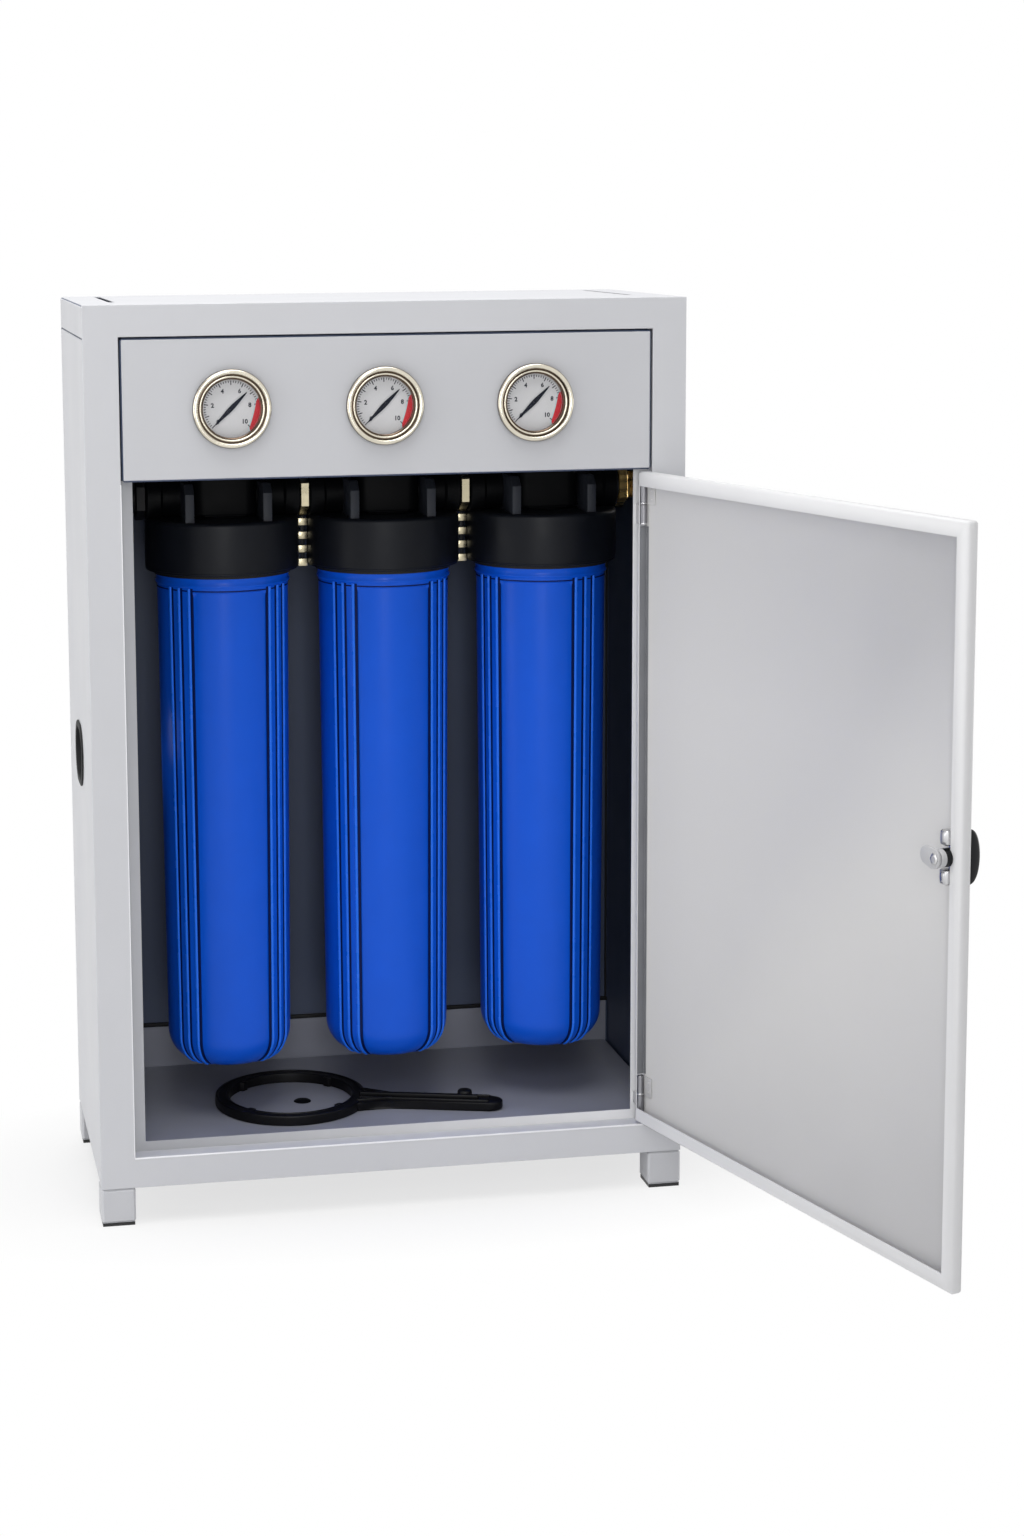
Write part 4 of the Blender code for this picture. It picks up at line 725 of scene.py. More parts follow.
def joined(*meshes: Mesh) -> Mesh:
    """Put several meshes into one.

    Args:
        meshes: The meshes, which are freed.

    Returns:
        One mesh with all of them.
    """
    whole = bmesh.new()
    for bm in meshes:
        part = bpy.data.meshes.new("part")
        bm.to_mesh(part)
        bm.free()
        whole.from_mesh(part)
        bpy.data.meshes.remove(part)
    return whole


def moved(bm: Mesh, matrix: Matrix) -> Mesh:
    """Transform a mesh and return it."""
    bmesh.ops.transform(bm, matrix=matrix, verts=bm.verts)
    return bm


def arc(centre: tuple[float, float], radius: float, start: float, end: float, steps: int) -> Profile:
    """Points of an arc.

    Args:
        centre: Centre of the arc.
        radius: Its radius.
        start: First angle in degrees.
        end: Last angle in degrees.
        steps: Number of chords.

    Returns:
        The points, both ends included.
    """
    angles = [math.radians(start + (end - start) * number / steps) for number in range(steps + 1)]
    return [(centre[0] + radius * math.cos(angle), centre[1] + radius * math.sin(angle)) for angle in angles]


def rounded(across: float, along: float, corner: float, steps: int) -> Profile:
    """Outline of a rectangle with round corners.

    Args:
        across: Distance in X from the middle to the corners' centres.
        along: The same distance in Y.
        corner: Radius of the corners.
        steps: Chords of each corner.

    Returns:
        The points.
    """
    outline: Profile = []
    for quarter, (side_x, side_y) in enumerate(((1, 1), (-1, 1), (-1, -1), (1, -1))):
        centre = (side_x * across, side_y * along)
        outline += arc(centre, corner, quarter * 90, quarter * 90 + 90, steps)
    return outline


def mm(*points: tuple[float, float]) -> Profile:
    """Return points that are given in millimetres in metres."""
    return [(first * MM, second * MM) for first, second in points]


def baked(item: Item) -> Mesh:
    """Apply the modifiers or the text of a new object.

    Args:
        item: The object, which is removed.

    Returns:
        Its plain mesh.
    """
    bpy.context.scene.collection.objects.link(item)
    bpy.context.view_layer.update()
    result = bpy.data.meshes.new_from_object(item.evaluated_get(bpy.context.evaluated_depsgraph_get()))
    bm = bmesh.new()
    bm.from_mesh(result)
    bpy.data.objects.remove(item, do_unlink=True)
    bpy.data.meshes.remove(result)
    return bm


def shift(x: float, y: float, z: float) -> Matrix:
    """Return a translation."""
    return Matrix.Translation((x, y, z))


def turn(degrees: float, axis: str) -> Matrix:
    """Return a rotation about one axis."""
    return Matrix.Rotation(math.radians(degrees), 4, axis)


# Geometry Nodes


class Patterns:
    """Geometry Nodes trees that repeat a mesh or follow a path."""

    def __init__(self) -> None:
        """Build the trees."""
        self.ring = self._ring_tree()
        self.line = self._line_tree()
        self.tube = self._tube_tree()

    @staticmethod
    def _finish(graph: Graph, start: Node, end: Node, shape: Socket) -> None:
        """End a tree with real meshes and their material.

        Args:
            graph: The tree's graph.
            start: Its input node.
            end: Its output node.
            shape: The geometry.
        """
        real = graph.add("GeometryNodeRealizeInstances", {0: shape}).outputs[0]
        dressed = graph.add("GeometryNodeSetMaterial", {
            "Geometry": real, "Material": start.outputs["Material"]})
        graph.feed(end.inputs[0], dressed.outputs[0])

    def _ring_tree(self) -> Tree:
        """Build the tree that repeats a mesh round Z, in groups.

        Returns:
            The tree.
        """
        graph, start, end = new_group(
            "repeat_round_an_axis", "GeometryNodeTree",
            [("Geometry", "Geometry", None), ("Count", "Int", 6), ("Per group", "Int", 1),
             ("Spacing", "Float", 0.0), ("Group step", "Float", 1.0), ("Start", "Float", 0.0),
             ("Material", "Material", None)], [("Geometry", "Geometry")])
        index = graph.add("GeometryNodeInputIndex").outputs[0]
        group = graph.math("FLOOR", graph.math("DIVIDE", index, start.outputs["Per group"]))
        within = graph.math("MODULO", index, start.outputs["Per group"])
        angle = graph.math("ADD", graph.math("MULTIPLY", within, start.outputs["Spacing"]),
                           graph.math("MULTIPLY", group, start.outputs["Group step"]))
        angle = graph.math("ADD", angle, start.outputs["Start"])
        turned = graph.add("ShaderNodeCombineXYZ", {2: angle}).outputs[0]
        points = graph.add("GeometryNodeMeshLine", {"Count": start.outputs["Count"], "Offset": (0, 0, 0)})
        copies = graph.add("GeometryNodeInstanceOnPoints", {
            "Points": points.outputs[0], "Instance": start.outputs["Geometry"], "Rotation": turned})
        self._finish(graph, start, end, copies.outputs[0])
        return graph.tree

    def _line_tree(self) -> Tree:
        """Build the tree that repeats a mesh along a line.

        Returns:
            The tree.
        """
        graph, start, end = new_group(
            "repeat_along_a_line", "GeometryNodeTree",
            [("Geometry", "Geometry", None), ("Count", "Int", 4), ("Offset", "Vector", (0.0, 0.0, 1.0)),
             ("Material", "Material", None)], [("Geometry", "Geometry")])
        points = graph.add("GeometryNodeMeshLine", {
            "Count": start.outputs["Count"], "Offset": start.outputs["Offset"]})
        copies = graph.add("GeometryNodeInstanceOnPoints", {
            "Points": points.outputs[0], "Instance": start.outputs["Geometry"]})
        self._finish(graph, start, end, copies.outputs[0])
        return graph.tree

    def _tube_tree(self) -> Tree:
        """Build the tree that makes a round tube along a path of edges.

        Returns:
            The tree.
        """
        graph, start, end = new_group(
            "round_tube_along_a_path", "GeometryNodeTree",
            [("Geometry", "Geometry", None), ("Radius", "Float", 0.003), ("Facets", "Int", 24),
             ("Material", "Material", None)], [("Geometry", "Geometry")])
        path = graph.add("GeometryNodeMeshToCurve", {0: start.outputs["Geometry"]}).outputs[0]
        circle = graph.add("GeometryNodeCurvePrimitiveCircle", {
            "Radius": start.outputs["Radius"], "Resolution": start.outputs["Facets"]}).outputs[0]
        tube = graph.add("GeometryNodeCurveToMesh", {"Curve": path, "Profile Curve": circle, "Fill Caps": True})
        self._finish(graph, start, end, tube.outputs[0])
        return graph.tree

    def bake(self, tree: Tree, source: Mesh, material: Material, **sizes: object) -> Mesh:
        """Run a tree on a mesh and return the plain result.

        Args:
            tree: One of the trees.
            source: The mesh that is repeated or followed, which is freed.
            material: The material that the tree sets.
            sizes: The tree's other inputs by name, a blank written as an underscore.

        Returns:
            The baked mesh.
        """
        mesh = bpy.data.meshes.new("pattern_source")
        source.to_mesh(mesh)
        source.free()
        item = bpy.data.objects.new("pattern_source", mesh)
        step = item.modifiers.new("pattern", "NODES")
        step.node_group = tree
        values = {key.replace("_", " ").capitalize(): value for key, value in sizes.items()}
        values["Material"] = material
        for socket in tree.interface.items_tree:
            if socket.in_out == "INPUT" and socket.name in values:
                step[socket.identifier] = values[socket.name]
        return baked(item)


# Workshop


@dataclass
class Workshop:
    """What every sub-assembly needs: the frame, the finishes, the patterns and the cabinet's origin."""

    frame: dict
    effects: Effects = field(default_factory=Effects)
    patterns: Patterns = field(default_factory=Patterns)
    materials: dict[str, Material] = field(default_factory=dict)
    origin: Vector = field(default_factory=Vector)
    pivot: tuple[float, float] = (301.5 * MM, 6.3 * MM)
    door_open: float = 105.8

    def __post_init__(self) -> None:
        """Find the cabinet's own origin, in the middle of its front face on the floor."""
        low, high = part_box("front_frame")
        self.origin = Vector(((low.x + high.x) / 2, low.y, 0.0))

    def material(self, finish: Finish) -> Material:
        """Return a finish's material, built once."""
        if finish.name not in self.materials:
            self.materials[finish.name] = finish.build(self.effects)
        return self.materials[finish.name]

    def cabinet(self, x: float, y: float, z: float) -> Matrix:
        """Return the matrix of a place in the cabinet's own frame."""
        return Matrix.Translation(self.origin + Vector((x, y, z)))

    def door(self) -> Matrix:
        """Return the matrix of the open door's frame, whose origin is the hinge axis."""
        return self.cabinet(self.pivot[0], self.pivot[1], 0.0) @ turn(self.door_open, "Z")

    def row(self, bm: Mesh, finish: Finish, count: int, offset: Point) -> Mesh:
        """Repeat a mesh along a line, one offset apart."""
        return self.patterns.bake(self.patterns.line, bm, self.material(finish), count=count, offset=offset)

    def ring(self, bm: Mesh, finish: Finish, start: float, count: int, step: float, per_group: int = 1,
             spacing: float = 0.0) -> Mesh:
        """Repeat a mesh round Z, in groups. Angles are in degrees.

        Args:
            bm: The mesh, which is freed.
            finish: Finish of the result.
            start: Angle of the first one.
            count: How many there are.
            step: Angle between groups.
            per_group: How many make a group.
            spacing: Angle between those of a group.

        Returns:
            The repeated mesh.
        """
        return self.patterns.bake(
            self.patterns.ring, bm, self.material(finish), count=count, per_group=per_group,
            spacing=math.radians(spacing), group_step=math.radians(step), start=math.radians(start))

    def piece(self, name: str, bm: Mesh, finish: Finish, body: str, slot: Slot | None = None,
              replaces: tuple[str, ...] = (), placing: Matrix | None = None, sharp: float = 38.0,
              outward: bool = True, others: tuple[Finish, ...] = ()) -> None:
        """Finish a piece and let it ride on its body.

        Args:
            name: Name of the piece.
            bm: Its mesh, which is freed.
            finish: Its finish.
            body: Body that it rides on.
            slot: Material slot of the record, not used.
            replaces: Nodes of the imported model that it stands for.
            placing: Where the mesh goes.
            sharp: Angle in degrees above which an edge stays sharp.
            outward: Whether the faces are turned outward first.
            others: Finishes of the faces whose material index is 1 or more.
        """
        if placing is not None:
            moved(bm, placing)
        if outward:
            bmesh.ops.remove_doubles(bm, verts=bm.verts, dist=MERGE_DISTANCE)
            bmesh.ops.recalc_face_normals(bm, faces=bm.faces)
        mesh = bpy.data.meshes.new(name)
        bm.to_mesh(mesh)
        bm.free()
        for each in (finish, *others):
            mesh.materials.append(self.material(each))
        if not others:
            mesh.polygons.foreach_set("material_index", [0] * len(mesh.polygons))
        mesh.shade_smooth()
        mesh.set_sharp_from_angle(angle=math.radians(sharp))
        item = bpy.data.objects.new(name, mesh)
        bpy.context.scene.collection.objects.link(item)
        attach(item, body)
        if replaces:
            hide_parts(*replaces)
        LOG.info("piece %s rides on %s, %d faces", name, body, len(mesh.polygons))

    def dress(self, finish: Finish, *nodes: str) -> None:
        """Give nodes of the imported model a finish.

        Args:
            finish: The finish.
            nodes: Names of the nodes.
        """
        for name in nodes:
            item = self.frame["nodes"][name]
            item.data.materials.clear()
            item.data.materials.append(self.material(finish))
            LOG.info("node %s is dressed in %s", name, finish.name)


# Finishes of this object

PAINT_GREY: Colour = (0.575, 0.580, 0.605)
PANEL_GREY: Colour = (0.54, 0.545, 0.57)
PAINT = PowderCoat("light_grey_powder_coat", PAINT_GREY, 0.44, dust=0.04)
# Painted highlight: a lighter copy of the door's paint for the door's lips and edges.
LIP_PAINTED_HIGHLIGHT = PowderCoat("door_lip_painted_highlight", (0.65, 0.65, 0.66), 0.42)
FOOT_PAINT = PadFoot("foot_paint_and_pad", PANEL_GREY, 0.45, grain_height=0.02, tone=0.02)
# Painted light: the door rabbet runs from a shaded grey on the left to a lit near-white on the right.
RABBET_PAINTED_LIGHT = PaintedLightFade("rabbet_painted_light", (0.44, 0.445, 0.465), 0.44, specular=0.4, effect=Effect.PEEL,
                    tone=0.02, axis=0, start=-0.30, end=0.20, other=(0.80, 0.80, 0.81))
# Painted shade: the door's inner face and the hinge leaves grow darker towards the bottom.
DOOR_PAINTED_SHADE = PaintedLightFade("door_painted_shade", (0.46, 0.456, 0.455), 0.46, specular=0.4, effect=Effect.PEEL, tone=0.012,
                  grain_height=0.05, axis=2, start=0.12, end=0.62, other=(0.605, 0.60, 0.597))
# Painted highlight: near-white strips stand for the light on the bent edges.
EDGE_PAINTED_HIGHLIGHT = Finish("bent_edge_painted_highlight", (0.86, 0.86, 0.88), 0.40, specular=0.4, tone=0.01)
# Painted shade: dark grey for the strip that stands in for the shade in the door's hinge recess.
HINGE_RECESS_SHADE = Finish("hinge_recess_painted_shade", (0.19, 0.195, 0.21), 0.6, specular=0.3, tone=0.08)
BLACK = Finish("black_cap_plastic", (0.0050, 0.0060, 0.0090), 0.42, specular=0.15, tone=0.08)
# Painted highlight: a lighter copy of the cap's black for the fins, as the light on their front faces.
FIN_PAINTED_HIGHLIGHT = Finish("black_fin_plastic_painted_highlight", (0.020, 0.023, 0.031), 0.46, specular=0.2, tone=0.06)
# Painted shade: a darker, less glossy copy of the cap's black for the hub under the gauge panel, and for the
# drain hole.
HUB_PAINTED_SHADE = Finish("black_hub_plastic_painted_shade", (0.0025, 0.0028, 0.0035), 0.50, specular=0.07, tone=0.08)
# Painted shade: black for the brass inlet, which lies in shade at the cap's left.
FITTING_PAINTED_SHADE = Finish("inlet_painted_shade", (0.006, 0.006, 0.007), 0.45, specular=0.14, tone=0.1)
HANDLE_BLACK = Finish("black_latch_plastic", (0.0045, 0.005, 0.006), 0.36, specular=0.22, tone=0.1)
SPANNER_BLACK = Finish("black_spanner_plastic", (0.0035, 0.0035, 0.0045), 0.40, specular=0.16,
                       grain_height=0.05, grain_size=1.4, tone=0.12)
BLUE = Finish("blue_sump_plastic", (0.003, 0.090, 0.64), 0.32, specular=0.17, coat=0.05, coat_roughness=0.22,
              grain_height=0.004, tone=0.02, gloss_change=0.02)
# Painted highlight: a lighter copy of the sump's blue for the ribs, as the light on their crests.
RIB_PAINTED_HIGHLIGHT = Finish("blue_rib_painted_highlight", (0.010, 0.150, 0.84), 0.28, specular=0.24, coat=0.10, coat_roughness=0.2,
                  tone=0.02)
# Painted shade: dark blue strips beside the ribs and a line under the collar stand for the shade in the
# moulding's grooves.
GROOVE_PAINTED_SHADE = Finish("blue_groove_painted_shade", (0.0008, 0.006, 0.060), 0.45, specular=0.12, tone=0.05)
RED = Finish("red_button_plastic", (0.45, 0.02, 0.02), 0.32, tone=0.05)
RUBBER = Finish("black_rubber", (0.010, 0.010, 0.011), 0.68, specular=0.3, grain_height=0.08, grain_size=1.6,
                tone=0.15, dust=0.05)
BRASS = Metal("brass", (0.48, 0.43, 0.30), 0.30, tone=0.10, gloss_change=0.08, stretch=(0.12, 1.0, 1.0))
GOLD_BRASS = Metal("golden_brass", (0.80, 0.55, 0.20), 0.30, tone=0.14, gloss_change=0.08,
                   stretch=(0.12, 1.0, 1.0))
COPPER = Metal("copper_tube", (0.60, 0.32, 0.20), 0.28, grain_height=0.01, tone=0.10, stretch=(0.3, 0.3, 1.0))
ZINC = Metal("zinc_plated_steel", (0.50, 0.50, 0.50), 0.34, tone=0.14, gloss_change=0.10,
             stretch=(1.0, 1.0, 0.10))
BRIGHT_ZINC = Metal("bright_zinc", (0.50, 0.50, 0.51), 0.30, grain_height=0.01, tone=0.08,
                    stretch=(1.0, 1.0, 0.2))
HINGE_STEEL = Metal("drawn_hinge_steel", (0.22, 0.22, 0.235), 0.33, grain_height=0.03, tone=0.45,
                    gloss_change=0.12, stretch=(1.0, 1.0, 0.02))
# Painted shade: a dark brown copy of the nickel for the bezel's inner lip.
LIP_PAINTED_SHADE = Metal("inner_bezel_nickel", (0.17, 0.14, 0.12), 0.28, grain_height=0.006, tone=0.08,
                    gloss_change=0.05, stretch=(0.4, 0.4, 0.4))
TONGUE_GREY = Finish("pale_latch_tongue", (0.44, 0.44, 0.45), 0.40, grain_height=0.03)
DIAL = Finish("dial_light_grey", (0.76, 0.76, 0.775), 0.55, specular=0.3, grain_height=0.01, tone=0.02)
PRINT = Finish("dial_print", (0.02, 0.022, 0.035), 0.55, specular=0.3, tone=0.2)
RED_PRINT = Finish("dial_red_print", (0.66, 0.022, 0.035), 0.5, specular=0.3, tone=0.08)
CYAN_PRINT = Finish("dial_pale_print", (0.55, 0.72, 0.74), 0.5, specular=0.3)
NEEDLE = Finish("needle_dark_blue", (0.003, 0.005, 0.014), 0.45, specular=0.15, tone=0.1)
GLASS = Glass("gauge_glass", (0.10, 0.10, 0.11), 0.25, specular=0.25, tone=0.0, gloss_change=0.01,
              grain_height=0.0)


# Sub-assemblies


@dataclass(frozen=True)
class Lamp:
    """Soft lamp in the cabinet's frame, with its width, its height and its power in watts."""

    name: str
    place: Point
    aim: Point
    size: tuple[float, float]
    power: float


LAMPS = (
    Lamp("top_softbox", (-0.3, -0.2, 3.4), (0, 0.1, 0.9), (2.6, 2.6), 76),
    Lamp("front_softbox", (-0.50, -3.6, 1.60), (0, 0.1, 0.55), (0.8, 2.7), 41),
    Lamp("left_softbox", (-3.2, -0.5, 1.0), (0, 0.1, 0.35), (1.8, 2.4), 36),
    Lamp("back_softbox", (0.7, 3.7, 0.58), (0, 0.1, 0.55), (2.2, 0.9), 33),
    Lamp("right_softbox", (3.5, 0.7, 0.58), (0, 0.1, 0.55), (2.0, 0.9), 25),
)


@dataclass
class Studio:
    """Camera, world, lamps and floor."""

    shop: Workshop
    yaw: float = 10.055
    pitch: float = 7.992
    roll: float = -0.509
    place: Point = (-0.5834, -3.1011, 1.173)
    focal_pixels: float = 2761.6
    centre_pixels: tuple[float, float] = (363.4, 599.2)
    image: tuple[int, int] = (1024, 1536)
    sensor: float = 36.0
    clip_end: float = 60.0
    ambient: float = 0.34
    floor_radius: float = 9.0
    floor_grey: Colour = (0.80, 0.80, 0.80)
    floor_drop: float = 0.2 * MM
    cabinet_half: tuple[float, float] = (0.35, 0.17)
    shadow_reach: tuple[float, float] = (1.1, 2.0)
    shadow_glow: float = 0.70

    def camera(self) -> None:
        """Make the camera from its angles and the place of its axis in the image."""
        yaw, pitch, roll = (math.radians(angle) for angle in (self.yaw, self.pitch, self.roll))
        forward = Vector((math.sin(yaw) * math.cos(pitch), math.cos(yaw) * math.cos(pitch), -math.sin(pitch)))
        level = forward.cross(Vector((0, 0, 1))).normalized()
        upright = level.cross(forward)
        right = level * math.cos(roll) + upright * math.sin(roll)
        up = upright * math.cos(roll) - level * math.sin(roll)
        data = bpy.data.cameras.new("camera")
        data.sensor_width = self.sensor
        width, height = self.image
        data.lens = self.focal_pixels * self.sensor / height
        data.shift_x = (width / 2 - self.centre_pixels[0]) / height
        data.shift_y = (self.centre_pixels[1] - height / 2) / height
        data.clip_end = self.clip_end
        item = bpy.data.objects.new("camera", data)
        matrix = Matrix((right, up, -forward)).transposed().to_4x4()
        matrix.translation = self.shop.origin + Vector(self.place)
        item.matrix_world = matrix
        bpy.context.scene.collection.objects.link(item)
        bpy.context.scene.camera = item

    def world(self) -> None:
        """Make a white background with a plain level of ambient light."""
        world = bpy.data.worlds.new("studio")
        world.use_nodes = True
        bpy.context.scene.world = world
        graph = Graph(world.node_tree)
        background = world.node_tree.nodes["Background"]
        seen = graph.rays("Is Camera Ray", "Is Glossy Ray", "Is Transmission Ray")
        strength = graph.math("ADD", graph.math("MULTIPLY", seen, 1.0 - self.ambient), self.ambient)
        graph.feed(background.inputs["Strength"], strength)
        background.inputs["Color"].default_value = (1.0, 1.0, 1.0, 1.0)

    def hang(self, lamp: Lamp) -> None:
        """Add a soft lamp.

        Args:
            lamp: What it is and where.
        """
        data = bpy.data.lights.new(lamp.name, "AREA")
        data.shape = "RECTANGLE"
        data.size, data.size_y = lamp.size
        data.energy = lamp.power
        item = bpy.data.objects.new(lamp.name, data)
        item.location = self.shop.origin + Vector(lamp.place)
        item.rotation_euler = (Vector(lamp.aim) - Vector(lamp.place)).to_track_quat("-Z", "Y").to_euler()
        bpy.context.scene.collection.objects.link(item)

    def floor(self) -> None:
        """Make a white floor that keeps a faint shadow near the cabinet."""
        bm = bmesh.new()
        bmesh.ops.create_circle(bm, cap_ends=True, segments=96, radius=self.floor_radius)
        mesh = bpy.data.meshes.new("floor")
        bm.to_mesh(mesh)
        bm.free()
        item = bpy.data.objects.new("floor", mesh)
        item.location = (0, 0, -self.floor_drop)
        bpy.context.scene.collection.objects.link(item)
        material = bpy.data.materials.new("white_floor")
        material.use_nodes = True
        graph = Graph(material.node_tree)
        shader = material.node_tree.nodes["Principled BSDF"]
        shader.inputs["Base Color"].default_value = (*self.floor_grey, 1.0)
        shader.inputs["Roughness"].default_value = 0.9
        shader.inputs["Specular IOR Level"].default_value = 0.0
        glow = graph.add("ShaderNodeEmission", {"Strength": 1.0})
        seen = graph.rays("Is Camera Ray", "Is Glossy Ray")
        middle = self.shop.origin + Vector((0, self.cabinet_half[1], 0))
        aside = graph.vector("SUBTRACT", graph.place(), tuple(middle)).outputs[0]
        scaled = graph.vector("DIVIDE", aside, (*self.cabinet_half, 1.0)).outputs[0]
        away = graph.vector("LENGTH", scaled).outputs[1]
        share = graph.spread(away, *self.shadow_reach, to_low=self.shadow_glow)
        blend = graph.add("ShaderNodeMixShader", {0: graph.math("MULTIPLY", seen, share),
                                                  1: shader.outputs[0], 2: glow.outputs[0]})
        graph.feed(material.node_tree.nodes["Material Output"].inputs[0], blend.outputs[0])
        mesh.materials.append(material)

    def build(self) -> None:
        """Set up the whole studio."""
        bpy.context.scene.view_settings.view_transform = "Standard"
        self.camera()
        self.world()
        self.floor()
        for lamp in LAMPS:
            self.hang(lamp)


@dataclass
class FilterHead:
    """Black cap of a housing: skirt, hub, fins, port arms and a boss for the relief button."""

    shop: Workshop
    number: int
    hub_radius: float = 39 * MM
    hub_corner: float = 15 * MM
    skirt_round: float = 5 * MM
    bore: float = 78.9 * MM
    skirt_share: float = 0.504
    port_share: float = 0.7057
    port_radius: float = 27.5 * MM
    fin_offset: float = 46 * MM
    fin_reach: float = 71.5 * MM
    fin_thickness: float = 11 * MM
    fin_height: float = 44 * MM
    boss_radius: float = 13 * MM
    boss_height: float = 5 * MM

    def __post_init__(self) -> None:
        """Read the cap's place and size from its node."""
        low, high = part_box(f"filter_head_{self.number}")
        self.x, self.y, self.z = (low.x + high.x) / 2, (low.y + high.y) / 2, low.z
        self.radius = (high.x - low.x) / 2
        self.hub_height = high.z - low.z - self.boss_height
        self.skirt_height = self.hub_height * self.skirt_share
        self.port_z = self.hub_height * self.port_share

    def skirt(self) -> Mesh:
        """Turned skirt with rounded edges and a roof, open below.

        Returns:
            Its mesh.
        """
        outer, edge, top = self.radius, self.skirt_round, self.skirt_height
        profile = [(0.0, top + 1.0 * MM), (self.hub_radius, top + 1.0 * MM)]
        profile += arc((outer - edge, top - edge), edge, 90, 0, 6)
        profile += [(outer, 3.2 * MM), (outer - 0.8 * MM, 2.2 * MM), (outer - 0.8 * MM, 1.4 * MM)]
        profile += arc((outer - 2.0 * MM, 1.2 * MM), 1.2 * MM, 0, -90, 3)
        profile += [(self.bore, 0.0), (self.bore, top - 11 * MM), (0.0, top - 11 * MM)]
        return lathe(profile, 112)

    def hub(self) -> Mesh:
        """Rounded block between the fins, standing on a narrower foot.

        Returns:
            Its mesh.
        """
        reach, top = self.hub_radius, self.skirt_height
        low = top + 3.5 * MM
        inset = reach - self.hub_corner
        body = prism(rounded(inset, inset, self.hub_corner, 6), low, self.hub_height, 3.5 * MM)
        foot = lathe([(0, low + 4 * MM), (reach - 3 * MM, low + 4 * MM), (reach + 3 * MM, top), (0, top)], 64)
        return joined(body, foot)

    def fins(self) -> Mesh:
        """Pair of gusset fins with rounded edges.

        Returns:
            Their mesh.
        """
        low = self.skirt_height - 2 * MM
        high = self.skirt_height + self.fin_height
        corner, reach, half = self.fin_thickness, self.fin_reach, self.fin_thickness / 2
        outline = [(-reach, low), (reach, low), (reach, high - corner), (reach - corner, high),
                   (-reach + corner, high), (-reach, high - corner)]
        standing = turn(90, "Z") @ turn(90, "X")
        places = [shift(side * self.fin_offset, 0, 0) @ standing for side in SIDES]
        return joined(*(moved(prism(outline, -half, half, 1.2 * MM, 2), place) for place in places))

    def arms(self) -> Mesh:
        """Port arms with a collar at each end and their threaded mouths.

        Returns:
            Their mesh.
        """
        radius, reach, mouth = self.port_radius, self.radius, 17.2 * MM
        profile = [(0.0, 0.0), (radius - 2.5 * MM, 0.0), (radius - 2.5 * MM, reach - 20 * MM),
                   (radius, reach - 17 * MM), (radius, reach - 1.5 * MM), (radius - 1.5 * MM, reach),
                   (mouth + 1 * MM, reach), (mouth, reach - 1 * MM), (mouth, reach - 26 * MM),
                   (0.0, reach - 26 * MM)]
        return joined(*(moved(lathe(profile, 64), shift(0, 0, self.port_z) @ turn(side * 90, "Y"))
                        for side in SIDES))

    def boss(self) -> Mesh:
        """Boss round the relief button's hole.

        Returns:
            Its mesh.
        """
        radius, low, high = self.boss_radius, self.hub_height - 4 * MM, self.hub_height + self.boss_height
        return lathe([(radius + 2 * MM, low), (radius, low + 5 * MM), (radius, high - 1 * MM),
                      (radius - 1 * MM, high), (5.5 * MM, high), (4.5 * MM, high - 1 * MM), (4.5 * MM, low)],
                     48, closed=True)

    def button(self) -> None:
        """Relief button with a dished top."""
        low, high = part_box(f"relief_button_{self.number}")
        stem, cap = 4 * MM, (high.x - low.x) / 2
        seat = high.z - 6 * MM
        profile = [(0.0, high.z - 1.2 * MM), (cap - 3 * MM, high.z - 0.8 * MM)]
        profile += arc((cap - 1.2 * MM, high.z - 1.2 * MM), 1.2 * MM, 100, 0, 5)
        profile += [(cap, seat + 0.6 * MM), (cap - 0.6 * MM, seat), (stem, seat), (stem, low.z), (0.0, low.z)]
        self.shop.piece(f"button_{self.number}", lathe(profile, 48), RED, f"button_{self.number}", Slot.RED,
                        (f"relief_button_{self.number}",), shift(self.x, self.y, 0))

    def build(self) -> None:
        """Build and dress the cap."""
        place = shift(self.x, self.y, self.z)
        # The fins take a painted highlight, and the hub, arms and boss take painted shade.
        for label, bm, finish, replaces in (
                ("cap", self.skirt(), BLACK, (f"filter_head_{self.number}",)),
                ("cap_fins", self.fins(), FIN_PAINTED_HIGHLIGHT, ()),
                ("cap_hub", joined(self.hub(), self.arms(), self.boss()), HUB_PAINTED_SHADE, ())):
            self.shop.piece(f"{label}_{self.number}", bm, finish, "cabinet", Slot.BLACK, replaces, place)
        self.button()


